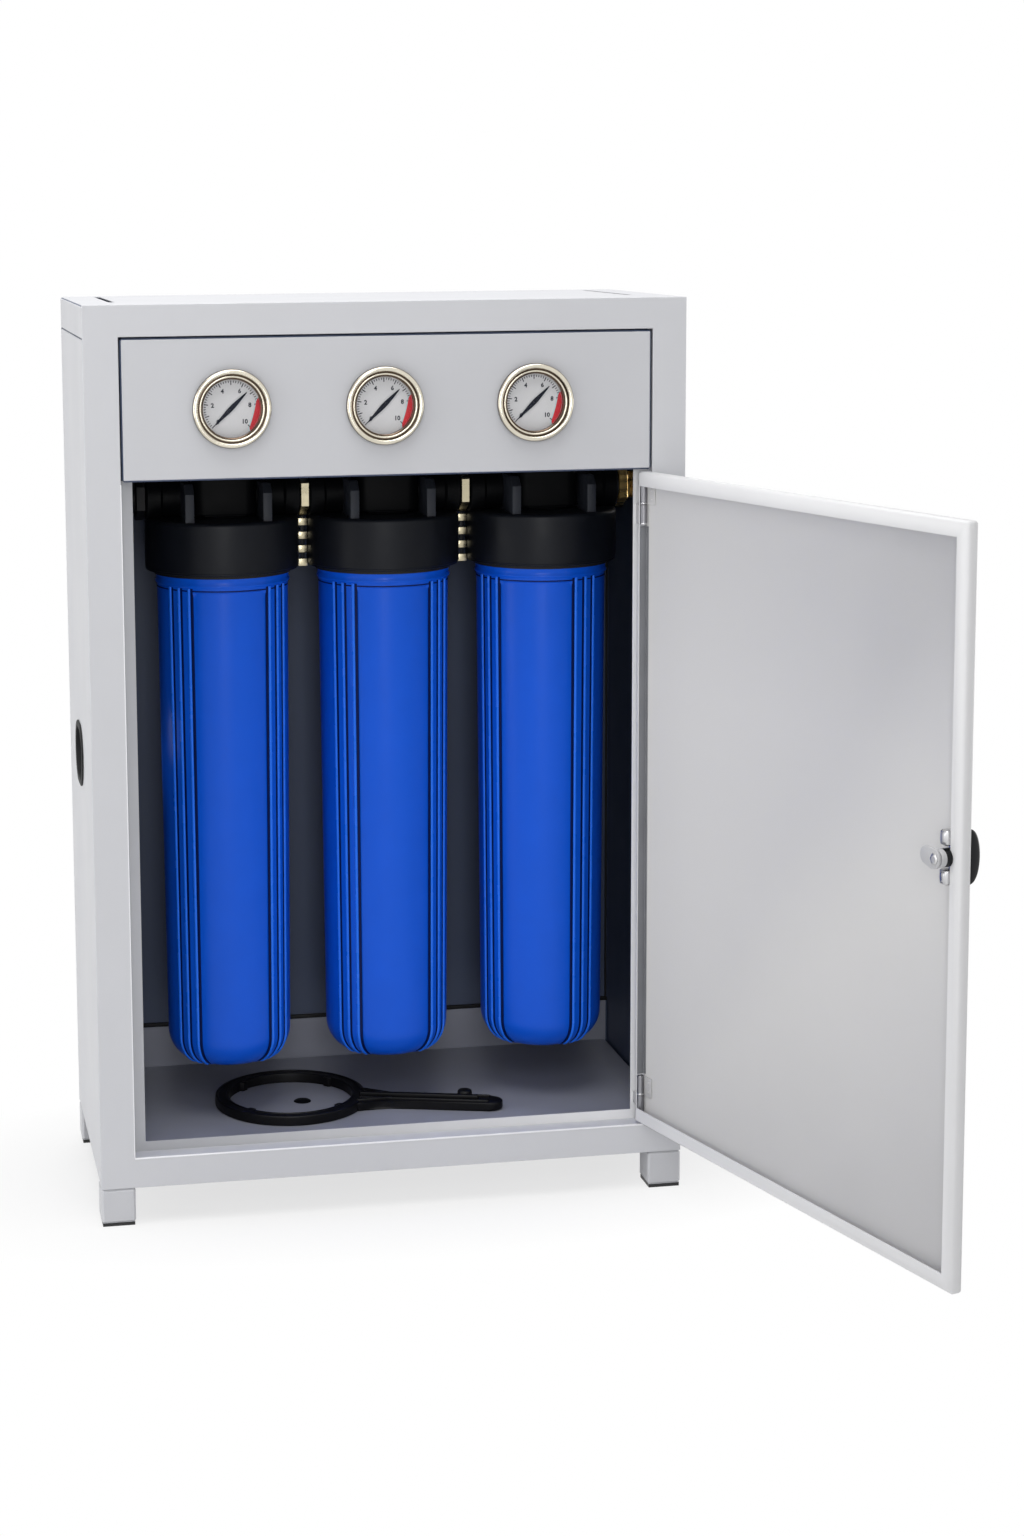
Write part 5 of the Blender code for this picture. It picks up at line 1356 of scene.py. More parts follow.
@dataclass
class FilterSump:
    """Blue sump: flared collar, wall with recessed panels, ribs in painted highlight beside dark strips of
    painted shade, a black ring of painted shadow under the cap and a rounded bottom.
    """

    shop: Workshop
    number: int
    turned: float = 0.0
    collar_radius: float = 81.5 * MM
    neck_radius: float = 78 * MM
    wall_top: float = 78.5 * MM
    wall_bottom: float = 74.5 * MM
    wall: float = 6 * MM
    collar_height: float = 15 * MM
    corner: float = 38 * MM
    rib_height: float = 2.7 * MM
    rib_width: float = 4.0 * MM
    rib_section: tuple[tuple[float, float], ...] = (
        (-1.0, -0.1), (-0.95, 0.62), (-0.7, 0.94), (-0.25, 1.08),
        (0.25, 1.08), (0.7, 0.94), (0.95, 0.62), (1.0, -0.1))
    groove_shade_section: tuple[tuple[float, float], ...] = (
        (-1.0, -0.1), (-0.95, 0.36), (-0.6, 0.42), (0.6, 0.42), (0.95, 0.36), (1.0, -0.1))
    groove_shade_width: float = 3.4 * MM
    groove_shade_aside: float = 2.5
    rib_spacing: float = 10.6
    group_centre: float = 48.0
    panel_edge: float = 35.0
    panel_depth: float = 1.9 * MM
    panel_slope: float = 1.1 * MM
    panel_corner: float = 7 * MM
    facets: int = 180

    def __post_init__(self) -> None:
        """Read the sump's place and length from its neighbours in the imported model."""
        low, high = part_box(f"filter_head_{self.number}")
        self.x, self.y, self.z = (low.x + high.x) / 2, (low.y + high.y) / 2, low.z
        self.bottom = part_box(f"filter_sump_{self.number}")[0].z - self.z
        self.neck_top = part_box(f"filter_sump_{self.number}")[1].z - self.z

    def corner_centre(self) -> tuple[float, float]:
        """Return the centre of the bottom radius, as radius and height."""
        return self.wall_bottom - self.corner, self.bottom + self.corner

    def rows(self) -> list[tuple[float, float, float]]:
        """Rings of the outer wall from the neck down.

        Returns:
            Radius, height and the share of the panel's recess of each ring.
        """
        flare, end = self.collar_radius, -self.collar_height
        rows = [(self.neck_radius, self.neck_top, 0.0), (self.neck_radius, -0.4 * MM, 0.0),
                (flare - 0.8 * MM, -0.4 * MM, 0.0), (flare, -1.2 * MM, 0.0), (flare, -2.6 * MM, 0.0),
                (flare - 1.4 * MM, -5.0 * MM, 0.0), (flare - 2.2 * MM, -8.5 * MM, 0.0),
                (flare - 2.0 * MM, end + 3.6 * MM, 0.0), (flare - 0.9 * MM, end + 2.2 * MM, 0.0),
                (flare - 0.8 * MM, end + 1.2 * MM, 0.0), (flare - 1.6 * MM, end, 0.0),
                (self.wall_top + 0.3 * MM, end - 1.0 * MM, 0.0)]
        start, finish = end - 2.2 * MM, self.bottom + self.corner
        close = [start - drop * MM for drop in (0, 1.2, 2.4, 3.3, 3.8, 4.3, 5, 6, 7, 8.2, 9.5, 11, 13, 16)]
        far = [start - 16 * MM + (finish - start + 16 * MM) * number / 14 for number in range(1, 15)]
        for height in close + far:
            share = (start - height) / (start - finish)
            rows.append((self.wall_top + (self.wall_bottom - self.wall_top) * share, height, 1.0))
        for radius, height in arc(self.corner_centre(), self.corner, -6, -84, 13):
            rows.append((radius, height, 1.0))
        rows.append((self.corner_centre()[0], self.bottom, 0.6))
        return rows

    def recess(self, angle: float, height: float) -> float:
        """How far the front or back panel lies below the wall at a place.

        Args:
            angle: Direction round the sump in degrees, 0 at the front.
            height: Height below the cap.

        Returns:
            The depth, from 0 to the panel's full depth.
        """
        nearest = min(abs((angle - middle + 180) % 360 - 180) for middle in (0, 180))
        across = math.radians(self.panel_edge - nearest) * self.wall_top
        down = -self.collar_height - 5.5 * MM - height
        corner = self.panel_corner
        if across < corner and down < corner:
            inside = corner - math.hypot(corner - across, corner - down)
        else:
            inside = min(across, down)
        return self.panel_depth * min(1.0, max(0.0, inside / self.panel_slope))

    def around(self, angles: list[float], radius: float, height: float, share: float) -> list[Vector]:
        """One ring of points of the wall.

        Args:
            angles: Directions of the points in degrees, 0 at the front.
            radius: Radius of the ring.
            height: Its height.
            share: Share of the panel's recess.

        Returns:
            The points.
        """
        ring = []
        for angle in angles:
            reach = radius - share * self.recess(angle, height)
            turned = math.radians(angle)
            ring.append(Vector((reach * math.sin(turned), -reach * math.cos(turned), height)))
        return ring

    def body(self) -> Mesh:
        """Outer wall with its recessed panels, closed with the inner wall.

        Returns:
            The wall's mesh.
        """
        angles = [360 * number / self.facets for number in range(self.facets)]
        for middle in (0, 180):
            for side in SIDES:
                angles += [(middle + side * (self.panel_edge - inset)) % 360 for inset in (0.0, 0.45, 0.9, 5.2)]
        angles = sorted(set(round(angle, 3) for angle in angles))
        count = len(angles)
        rings = [self.around(angles, *row) for row in self.rows()]
        outer = len(rings)
        centre = self.corner_centre()
        inner = [(0.0, self.bottom + self.wall)]
        inner += arc(centre, self.corner - self.wall, -90, 0, 6)
        inner += [(self.wall_top - self.wall, -self.collar_height),
                  (self.neck_radius - self.wall, self.neck_top)]
        rings += [self.around(angles, radius, height, 0.0) for radius, height in reversed(inner[1:])]
        bm = bmesh.new()
        made = [[bm.verts.new(point) for point in ring] for ring in rings]
        pairs = [*zip(made[:outer], made[1:outer]), *zip(made[outer:], made[outer + 1:]),
                 (made[outer], made[0])]
        for first, second in pairs:
            for here in range(count):
                after = (here + 1) % count
                bm.faces.new((first[here], first[after], second[after], second[here]))
        for ring, height in ((made[outer - 1], self.bottom), (made[-1], self.bottom + self.wall)):
            pole = bm.verts.new((0, 0, height))
            for here in range(count):
                bm.faces.new((ring[here], ring[(here + 1) % count], pole))
        return bm

    def strip(self, section: tuple[tuple[float, float], ...], width: float) -> Mesh:
        """One strip at the front that runs down the wall and wraps the bottom radius.

        Args:
            section: Its section, as shares of its half width and of the rib's height.
            width: Its width.

        Returns:
            The strip's mesh.
        """
        start, finish = -self.collar_height - 1.5 * MM, self.bottom + self.corner
        straight, bent, wrap = 16, 14, 68
        stations = []
        for number in range(straight + 1):
            share = number / straight
            radius = self.wall_top + (self.wall_bottom - self.wall_top) * share
            stations.append((radius, start + (finish - start) * share, 1.0, 0.0))
        centre = self.corner_centre()
        for number in range(1, bent + 1):
            slope = math.radians(number * wrap / bent)
            fade = 1.0 if number < 11 else math.sqrt(max(0.0, 1 - ((number - 10.5) / 3.6) ** 2))
            stations.append((centre[0] + self.corner * math.cos(slope),
                             centre[1] - self.corner * math.sin(slope), fade, slope))
        rows = []
        for radius, height, fade, slope in stations:
            row = []
            for aside, lift in section:
                across = aside * width / 2 * (0.4 + 0.6 * fade)
                rise = max(lift * self.rib_height * fade, 0.0) - 0.8 * MM * (1.0 if lift > 0 else 1.5)
                row.append(Vector((across, -radius - rise * math.cos(slope), height - rise * math.sin(slope))))
            rows.append(row)
        return loft(rows)

    def build(self) -> None:
        """Build and dress the sump."""
        place = shift(self.x, self.y, self.z) @ turn(self.turned, "Z")
        add, number, body = self.shop.piece, self.number, f"sump_{self.number}"
        add(f"sump_wall_{number}", self.body(), BLUE, body, Slot.BLUE, (f"filter_sump_{number}",), place,
            sharp=50)
        ribs, groove_shades = [], []
        rows = {"count": 6, "step": 180.0, "per_group": 3, "spacing": self.rib_spacing}
        for centre, side in ((self.group_centre, 1), (180 - self.group_centre, -1)):
            first = centre - self.rib_spacing
            aside = first - side * self.groove_shade_aside
            rib = self.strip(self.rib_section, self.rib_width)
            groove_shade = self.strip(self.groove_shade_section, self.groove_shade_width)
            ribs.append(self.shop.ring(rib, RIB_PAINTED_HIGHLIGHT, first, **rows))
            groove_shades.append(self.shop.ring(groove_shade, GROOVE_PAINTED_SHADE, aside, **rows))
        add(f"sump_ribs_{number}", joined(*ribs), RIB_PAINTED_HIGHLIGHT, body, Slot.BLUE, (), place, sharp=60)
        # Painted shade: a dark line under the collar.
        top, wall = -self.collar_height - 3.7 * MM, self.wall_top
        line = lathe([(wall - 2 * MM, top), (wall + 0.35 * MM, top), (wall + 0.30 * MM, top - 1.5 * MM),
                      (wall - 2 * MM, top - 1.5 * MM)], 160, closed=True)
        add(f"sump_groove_shades_{number}", joined(line, *groove_shades), GROOVE_PAINTED_SHADE, body, Slot.BLUE, (), place, sharp=60)
        # Painted shadow: a black ring at the collar's top stands for the shadow under the cap's lip.
        cap_shadow_ring = lathe([(self.neck_radius, -0.3 * MM), (self.collar_radius + 0.3 * MM, -0.3 * MM),
                      (self.collar_radius + 0.4 * MM, -4.4 * MM), (self.neck_radius, -4.4 * MM)],
                     160, closed=True)
        add(f"sump_cap_shadow_ring_{number}", cap_shadow_ring, RUBBER, body, Slot.RUBBER, (), place)


@dataclass
class Gauge:
    """Pressure gauge: stepped bezel, printed dial, needle and glass."""

    shop: Workshop
    number: int
    bezel_radius: float = 45 * MM
    dial_radius: float = 35.5 * MM
    dial_depth: float = 3 * MM
    back: float = 2.6 * MM
    crest: float = 9.1 * MM
    inner: float = 33.2 * MM
    seat: float = 38.9 * MM
    number_radius: float = 21.6 * MM
    number_size: float = 7.0 * MM
    marks: int = 11
    zero: float = 225.0
    sweep: float = 270.0

    def __post_init__(self) -> None:
        """Read the gauge's centre from its bezel."""
        low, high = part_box(f"gauge_bezel_{self.number}")
        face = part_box("gauge_panel")[0].y
        self.frame = shift((low.x + high.x) / 2, face, (low.z + high.z) / 2) @ turn(90, "X")

    def bezel(self) -> None:
        """Outer ring and inner step with painted shade towards their roots, and a lip in painted shade."""
        crest, radius, back, seat, number = self.crest, self.bezel_radius, self.back, self.seat, self.number
        face = self.frame.translation.y
        # Painted shade: the nickel darkens to a brown root colour towards the back of each ring.
        outer_metal, inner_metal = (
            PaintedLightFade(f"{name}_nickel", (0.68, 0.635, 0.53), 0.18, metallic=1.0, effect=Effect.STREAKS,
                 grain_height=0.004, tone=0.05, gloss_change=0.04, stretch=(0.4, 0.4, 0.4),
                 start=face - height + 0.4 * MM, end=face - height + depth, other=root)
            for name, height, depth, root in (
                ("outer_bezel", crest, 2.7 * MM, (0.12, 0.09, 0.07)),
                ("inner_bezel", crest - 2.5 * MM, 1.4 * MM, (0.10, 0.07, 0.05))))
        rim = [(radius - 0.6 * MM, back), (radius, back + 0.6 * MM), (radius, crest - 3.2 * MM)]
        rim += arc((radius - 3.2 * MM, crest - 3.2 * MM), 3.2 * MM, 0, 118, 10)
        rim += [(39.4 * MM, crest - 1.3 * MM), (seat, crest - 3.4 * MM), (seat, back)]
        step = [(37.7 * MM, back), (37.7 * MM, crest - 4.2 * MM)]
        step += arc((36.4 * MM, crest - 3.8 * MM), 1.3 * MM, 0, 160, 7)
        step += [(35.1 * MM, crest - 4.4 * MM), (35.1 * MM, back)]
        lip = [(35.0 * MM, crest - 4.4 * MM), (34.2 * MM, crest - 4.8 * MM), (self.inner, crest - 5.6 * MM),
               (self.inner, -2.2 * MM), (36.2 * MM, -2.2 * MM), (36.2 * MM, back - 0.2 * MM),
               (35.0 * MM, back - 0.2 * MM)]
        floor = [(self.inner + 4.4 * MM, back), (seat, back), (seat, back + 0.6 * MM),
                 (self.inner + 4.4 * MM, back + 0.6 * MM)]
        inside = joined(lathe(lip, 128, closed=True), lathe(floor, 96, closed=True))
        for label, bm, metal, replaces in (
                ("bezel", lathe(rim, 128, closed=True), outer_metal, (f"gauge_bezel_{number}",)),
                ("bezel_step", lathe(step, 128, closed=True), inner_metal, ()),
                ("bezel_lip", inside, LIP_PAINTED_SHADE, ())):
            self.shop.piece(f"{label}_{number}", bm, metal, "cabinet", Slot.NICKEL, replaces, self.frame,
                            sharp=50)

    def dial(self) -> None:
        """Dial with its ticks, numbers and red sector."""
        level, radius = -self.dial_depth, self.dial_radius
        disc = [(0.0, level), (radius - 1.0 * MM, level), (radius, level - 0.3 * MM),
                (radius, level - 1.2 * MM), (0.0, level - 1.2 * MM)]
        self.shop.piece(f"dial_{self.number}", lathe(disc, 96), DIAL, "cabinet", Slot.DIAL,
                        (f"gauge_dial_{self.number}",), self.frame)
        ink, step = 0.12 * MM, self.sweep / (self.marks - 1)
        start = self.zero - self.sweep
        long_tick, short_tick = (
            block((inner * MM, -half * MM, level), (31.6 * MM, half * MM, level + ink), 0.04 * MM, 1)
            for inner, half in ((26.6, 0.55), (29.0, 0.42)))
        short = step / 5
        ticks = joined(self.shop.ring(long_tick, PRINT, start, self.marks, step),
                       self.shop.ring(short_tick, PRINT, start + short, (self.marks - 1) * 4, step, 4, short))
        numbers = joined(*(self.number_mesh(mark, level) for mark in range(0, self.marks, 2)))
        for label, bm, finish, outward in (
                ("ticks", ticks, PRINT, True), ("numbers", numbers, PRINT, False),
                ("red", self.sector(26.4 * MM, 33.1 * MM, -50, 20, 0.16 * MM), RED_PRINT, True),
                ("pale", self.sector(25.0 * MM, 32.4 * MM, -53, 23, 0.10 * MM), CYAN_PRINT, True)):
            self.shop.piece(f"dial_{label}_{self.number}", bm, finish, "cabinet", None, (), self.frame,
                            outward=outward)

    def number_mesh(self, mark: int, level: float) -> Mesh:
        """Make one number of the scale.

        Args:
            mark: The number.
            level: Height of the dial's face.

        Returns:
            Its mesh in place.
        """
        curve = bpy.data.curves.new("number", "FONT")
        curve.body = str(mark)
        curve.size = self.number_size
        curve.offset = 0.26 * MM
        curve.align_x = "CENTER"
        curve.align_y = "CENTER"
        curve.extrude = 0.05 * MM
        curve.resolution_u = 2
        bm = baked(bpy.data.objects.new("number", curve))
        angle = math.radians(self.zero - self.sweep * mark / (self.marks - 1))
        x, y = self.number_radius * math.cos(angle), self.number_radius * math.sin(angle)
        return moved(bm, shift(x, y, level + 0.07 * MM))

    def sector(self, inner: float, outer: float, start: float, end: float, rise: float) -> Mesh:
        """Make a crescent that tapers towards its ends.

        Args:
            inner: Inner radius in its middle.
            outer: Outer radius.
            start: First angle in degrees.
            end: Last angle in degrees.
            rise: Its height above the dial.

        Returns:
            The crescent's mesh.
        """
        level = -self.dial_depth
        near, far, steps = [], [], 24
        for number in range(steps + 1):
            share = number / steps
            angle = math.radians(start + (end - start) * share)
            swell = math.sin(math.pi * share) ** 0.55
            depth = outer - (outer - inner) * (0.12 + 0.88 * swell)
            near.append((depth * math.cos(angle), depth * math.sin(angle)))
            far.append((outer * math.cos(angle), outer * math.sin(angle)))
        return prism(near + far[::-1], level, level + rise)

    def needle(self) -> None:
        """Needle that tapers to both ends, with its hub."""
        low, root = -self.dial_depth + 0.6 * MM, -self.dial_depth - 3.8 * MM
        edge = mm((27.0, 0.3), (23.5, 1.0), (14.0, 1.8), (4.0, 2.7), (-4.0, 2.7), (-14.0, 1.7), (-22.0, 0.9),
                  (-25.5, 0.3))
        outline = edge + [(x, -y) for x, y in edge[::-1]]
        pointer = moved(prism(outline, low, low + 0.8 * MM, 0.2 * MM, 2), turn(self.zero, "Z"))
        hub = lathe([(0, low + 1.5 * MM), (1.6 * MM, low + 1.4 * MM), (2.2 * MM, low + 0.9 * MM),
                     (2.2 * MM, root), (0, root)], 32)
        self.shop.piece(f"needle_{self.number}", joined(pointer, hub), NEEDLE, f"needle_{self.number}",
                        Slot.NEEDLE, (f"gauge_needle_{self.number}",), self.frame)

    def glass(self) -> None:
        """Clear window inside the bezel's step."""
        low, edge = self.crest - 6.4 * MM, self.inner - 0.05 * MM
        pane = [(0.0, low + 1.3 * MM), (self.inner - 1.0 * MM, low + 1.0 * MM), (edge, low + 0.7 * MM),
                (edge, low), (0.0, low)]
        self.shop.piece(f"glass_{self.number}", lathe(pane, 96), GLASS, "cabinet", None, (), self.frame)

    def build(self) -> None:
        """Build and dress the gauge."""
        self.bezel()
        self.dial()
        self.needle()
        self.glass()
        self.shop.dress(BLACK, f"gauge_case_{self.number}")


@dataclass
class Pipework:
    """Brass fittings, toothed straps and copper gauge tubes."""

    shop: Workshop
    hex_radius: float = 27.5 * MM
    nut_length: float = 12 * MM
    thread_radius: float = 16.4 * MM
    bore: float = 12 * MM
    thread_pitch: float = 2.3 * MM
    strap_teeth: int = 4
    strap_pitch: float = 16.4 * MM
    tooth_height: float = 8.8 * MM
    tube_radius: float = 3 * MM
    tube_bend: float = 12 * MM

    def hexagon(self, start: float, end: float) -> Mesh:
        """Hexagonal nut along Z with chamfered corners.

        Args:
            start: Where it begins.
            end: Where it ends.

        Returns:
            The nut's mesh.
        """
        radius, chamfer, end_share = self.hex_radius, 1.3 * MM, 0.93
        corners = arc((0.0, 0.0), 1.0, 0, 300, 5)
        return loft([[Vector((x * radius * share, y * radius * share, height)) for x, y in corners]
                     for height, share in ((start, end_share), (start + chamfer, 1.0), (end - chamfer, 1.0),
                                           (end, end_share))])

    def thread(self, start: float, end: float) -> Mesh:
        """Thread along Z made of turned rings, with its bore.

        Args:
            start: Where it begins.
            end: Where it ends.

        Returns:
            The thread's mesh.
        """
        radius, pitch = self.thread_radius, self.thread_pitch
        root = radius - 1.2 * MM
        core = lathe([(self.bore, start), (root, start), (root, end), (self.bore, end)], 48, closed=True)
        ring = lathe([(root - 0.2 * MM, 0.0), (radius, pitch * 0.4), (radius, pitch * 0.6),
                      (root - 0.2 * MM, pitch)], 40, closed=True)
        count = max(1, int((end - start) / pitch))
        rings = self.shop.row(ring, BRASS, count, (0, 0, pitch))
        return joined(core, moved(rings, shift(0, 0, start)))

    def lying(self, node: str) -> tuple[Matrix, float, float]:
        """Where a fitting that lies along X is.

        Args:
            node: Its node.

        Returns:
            The frame whose Z runs along world X at X = 0, and the fitting's two ends.
        """
        low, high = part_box(node)
        port = FilterHead(self.shop, 1)
        frame = shift(0, port.y, port.z + port.port_z) @ turn(90, "Y")
        return frame, low.x, high.x

    def nipple(self, number: int) -> None:
        """Hex nipple between two caps.

        Args:
            number: Which nipple, counted from the left.
        """
        frame, start, end = self.lying(f"hex_nipple_{number}")
        gap = 5.7 * MM
        middle = (start + end) / 2
        whole = joined(self.hexagon(middle - gap, middle + gap), self.thread(start, end))
        self.shop.piece(f"nipple_{number}", whole, BRASS, "cabinet", Slot.BRASS, (f"hex_nipple_{number}",),
                        frame, sharp=25)

    def strap(self, number: int) -> None:
        """Toothed strap under a nipple: brass teeth on a dark web.

        Args:
            number: Which strap, counted from the left.
        """
        low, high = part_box(f"spacer_strap_{number}")
        middle = (low.x + high.x) / 2
        front, back = low.y, high.y
        first = high.z - 2.5 * MM - self.tooth_height
        tooth = block((low.x, front, first), (high.x, back - 0.4 * MM, first + self.tooth_height), 0.7 * MM, 2)
        teeth = self.shop.row(tooth, BRASS, self.strap_teeth, (0, 0, -self.strap_pitch))
        self.shop.piece(f"strap_teeth_{number}", teeth, BRASS, "cabinet", Slot.BRASS,
                        (f"spacer_strap_{number}",))
        web = block((middle - 2.4 * MM, back - 1.3 * MM, low.z + 1 * MM), (middle + 2.4 * MM, back, high.z),
                    0.4 * MM, 2)
        self.shop.piece(f"strap_web_{number}", web, BLACK, "cabinet", Slot.BLACK)

    def outlet(self) -> None:
        """Outlet fitting on the right cap."""
        frame, start, end = self.lying("outlet_fitting")
        nut = start + 20.3 * MM
        collar = lathe([(self.bore, nut + self.nut_length), (20 * MM, nut + self.nut_length),
                        (20 * MM, nut + 15 * MM), (self.bore, nut + 15 * MM)], 48, closed=True)
        whole = joined(self.hexagon(nut, nut + self.nut_length), collar, self.thread(start, end))
        self.shop.piece("outlet", whole, GOLD_BRASS, "cabinet", Slot.BRASS, ("outlet_fitting",), frame,
                        sharp=25)

    def inlet(self) -> None:
        """Inlet elbow on the left cap: hexagon, bend and collar, black as painted shade on the brass."""
        frame, _, end = self.lying("inlet_elbow")
        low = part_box("inlet_elbow")[0].z
        port_end = end - 20 * MM
        start = port_end - 12.3 * MM
        nut = joined(self.hexagon(start, start + self.nut_length), self.thread(port_end - 1 * MM, end))
        moved(nut, frame)
        y, height, bend = frame.translation.y, frame.translation.z, 24 * MM
        foot = start - bend
        path = [Vector((start + 0.5 * MM, y, height))]
        path += [Vector((start, y, height - bend)) + Vector((math.cos(angle), 0, math.sin(angle))) * bend
                 for angle in (math.radians(90 + 90 * number / 12) for number in range(13))]
        path.append(Vector((foot, y, low + 1 * MM)))
        elbow = self.tube(path, 18.6 * MM, 48, FITTING_PAINTED_SHADE)
        collar = lathe([(self.bore, low), (21.6 * MM, low), (23 * MM, low + 1.4 * MM), (23 * MM, low + 12 * MM),
                        (21 * MM, low + 14 * MM), (self.bore, low + 14 * MM)], 64, closed=True)
        moved(collar, shift(foot, y, 0))
        self.shop.piece("inlet", joined(nut, elbow, collar), FITTING_PAINTED_SHADE, "cabinet", Slot.BRASS,
                        ("inlet_elbow",), sharp=25)

    def tube(self, path: list[Vector], radius: float, facets: int, finish: Finish) -> Mesh:
        """Make a round tube along a path.

        Args:
            path: Points of its centre line.
            radius: Its radius.
            facets: Facets round it.
            finish: Its finish.

        Returns:
            The tube's mesh.
        """
        line = bmesh.new()
        points = [line.verts.new(point) for point in path]
        for first, second in zip(points, points[1:]):
            line.edges.new((first, second))
        return self.shop.patterns.bake(self.shop.patterns.tube, line, self.shop.material(finish), radius=radius,
                                       facets=facets)

    def gauge_tube(self, number: int) -> None:
        """Copper tube from a gauge to its cap, with a nut at each end.

        Args:
            number: Which gauge.
        """
        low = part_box(f"gauge_tube_{number}")[0]
        bezel_low, bezel_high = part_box(f"gauge_bezel_{number}")
        gauge = Vector(((bezel_low.x + bezel_high.x) / 2, low.y, (bezel_low.z + bezel_high.z) / 2))
        cap = FilterHead(self.shop, number)
        reach, steps = 26 * MM, 8
        end = Vector((cap.x, cap.y - reach, low.z))
        corners = [gauge, Vector((gauge.x, end.y, gauge.z)), Vector((end.x, end.y, end.z + reach)), end]
        path = [corners[0]]
        for before, corner, after in zip(corners, corners[1:], corners[2:]):
            bend = min(self.tube_bend, (before - corner).length / 2.2, (after - corner).length / 2.2)
            first = corner + (before - corner).normalized() * bend
            last = corner + (after - corner).normalized() * bend
            for step in range(steps + 1):
                share = step / steps
                path.append(first.lerp(corner, share).lerp(corner.lerp(last, share), share))
        path.append(corners[-1])
        pipe = self.tube(path, self.tube_radius, 20, COPPER)
        self.shop.piece(f"tube_{number}", pipe, COPPER, "cabinet", Slot.COPPER, (f"gauge_tube_{number}",))
        nut = lathe(mm((3.2, 0), (6.2, 0), (7, 0.8), (7, 8), (5, 10), (3.2, 10)), 6, closed=True)
        other = nut.copy()
        moved(nut, Matrix.Translation(end))
        moved(other, Matrix.Translation(gauge) @ turn(-90, "X"))
        self.shop.piece(f"tube_nuts_{number}", joined(nut, other), BRASS, "cabinet", Slot.BRASS, sharp=25)

    def build(self) -> None:
        """Build and dress all the pipework."""
        for number in (1, 2):
            self.nipple(number)
            self.strap(number)
        self.outlet()
        self.inlet()
        for number in HOUSINGS:
            self.gauge_tube(number)


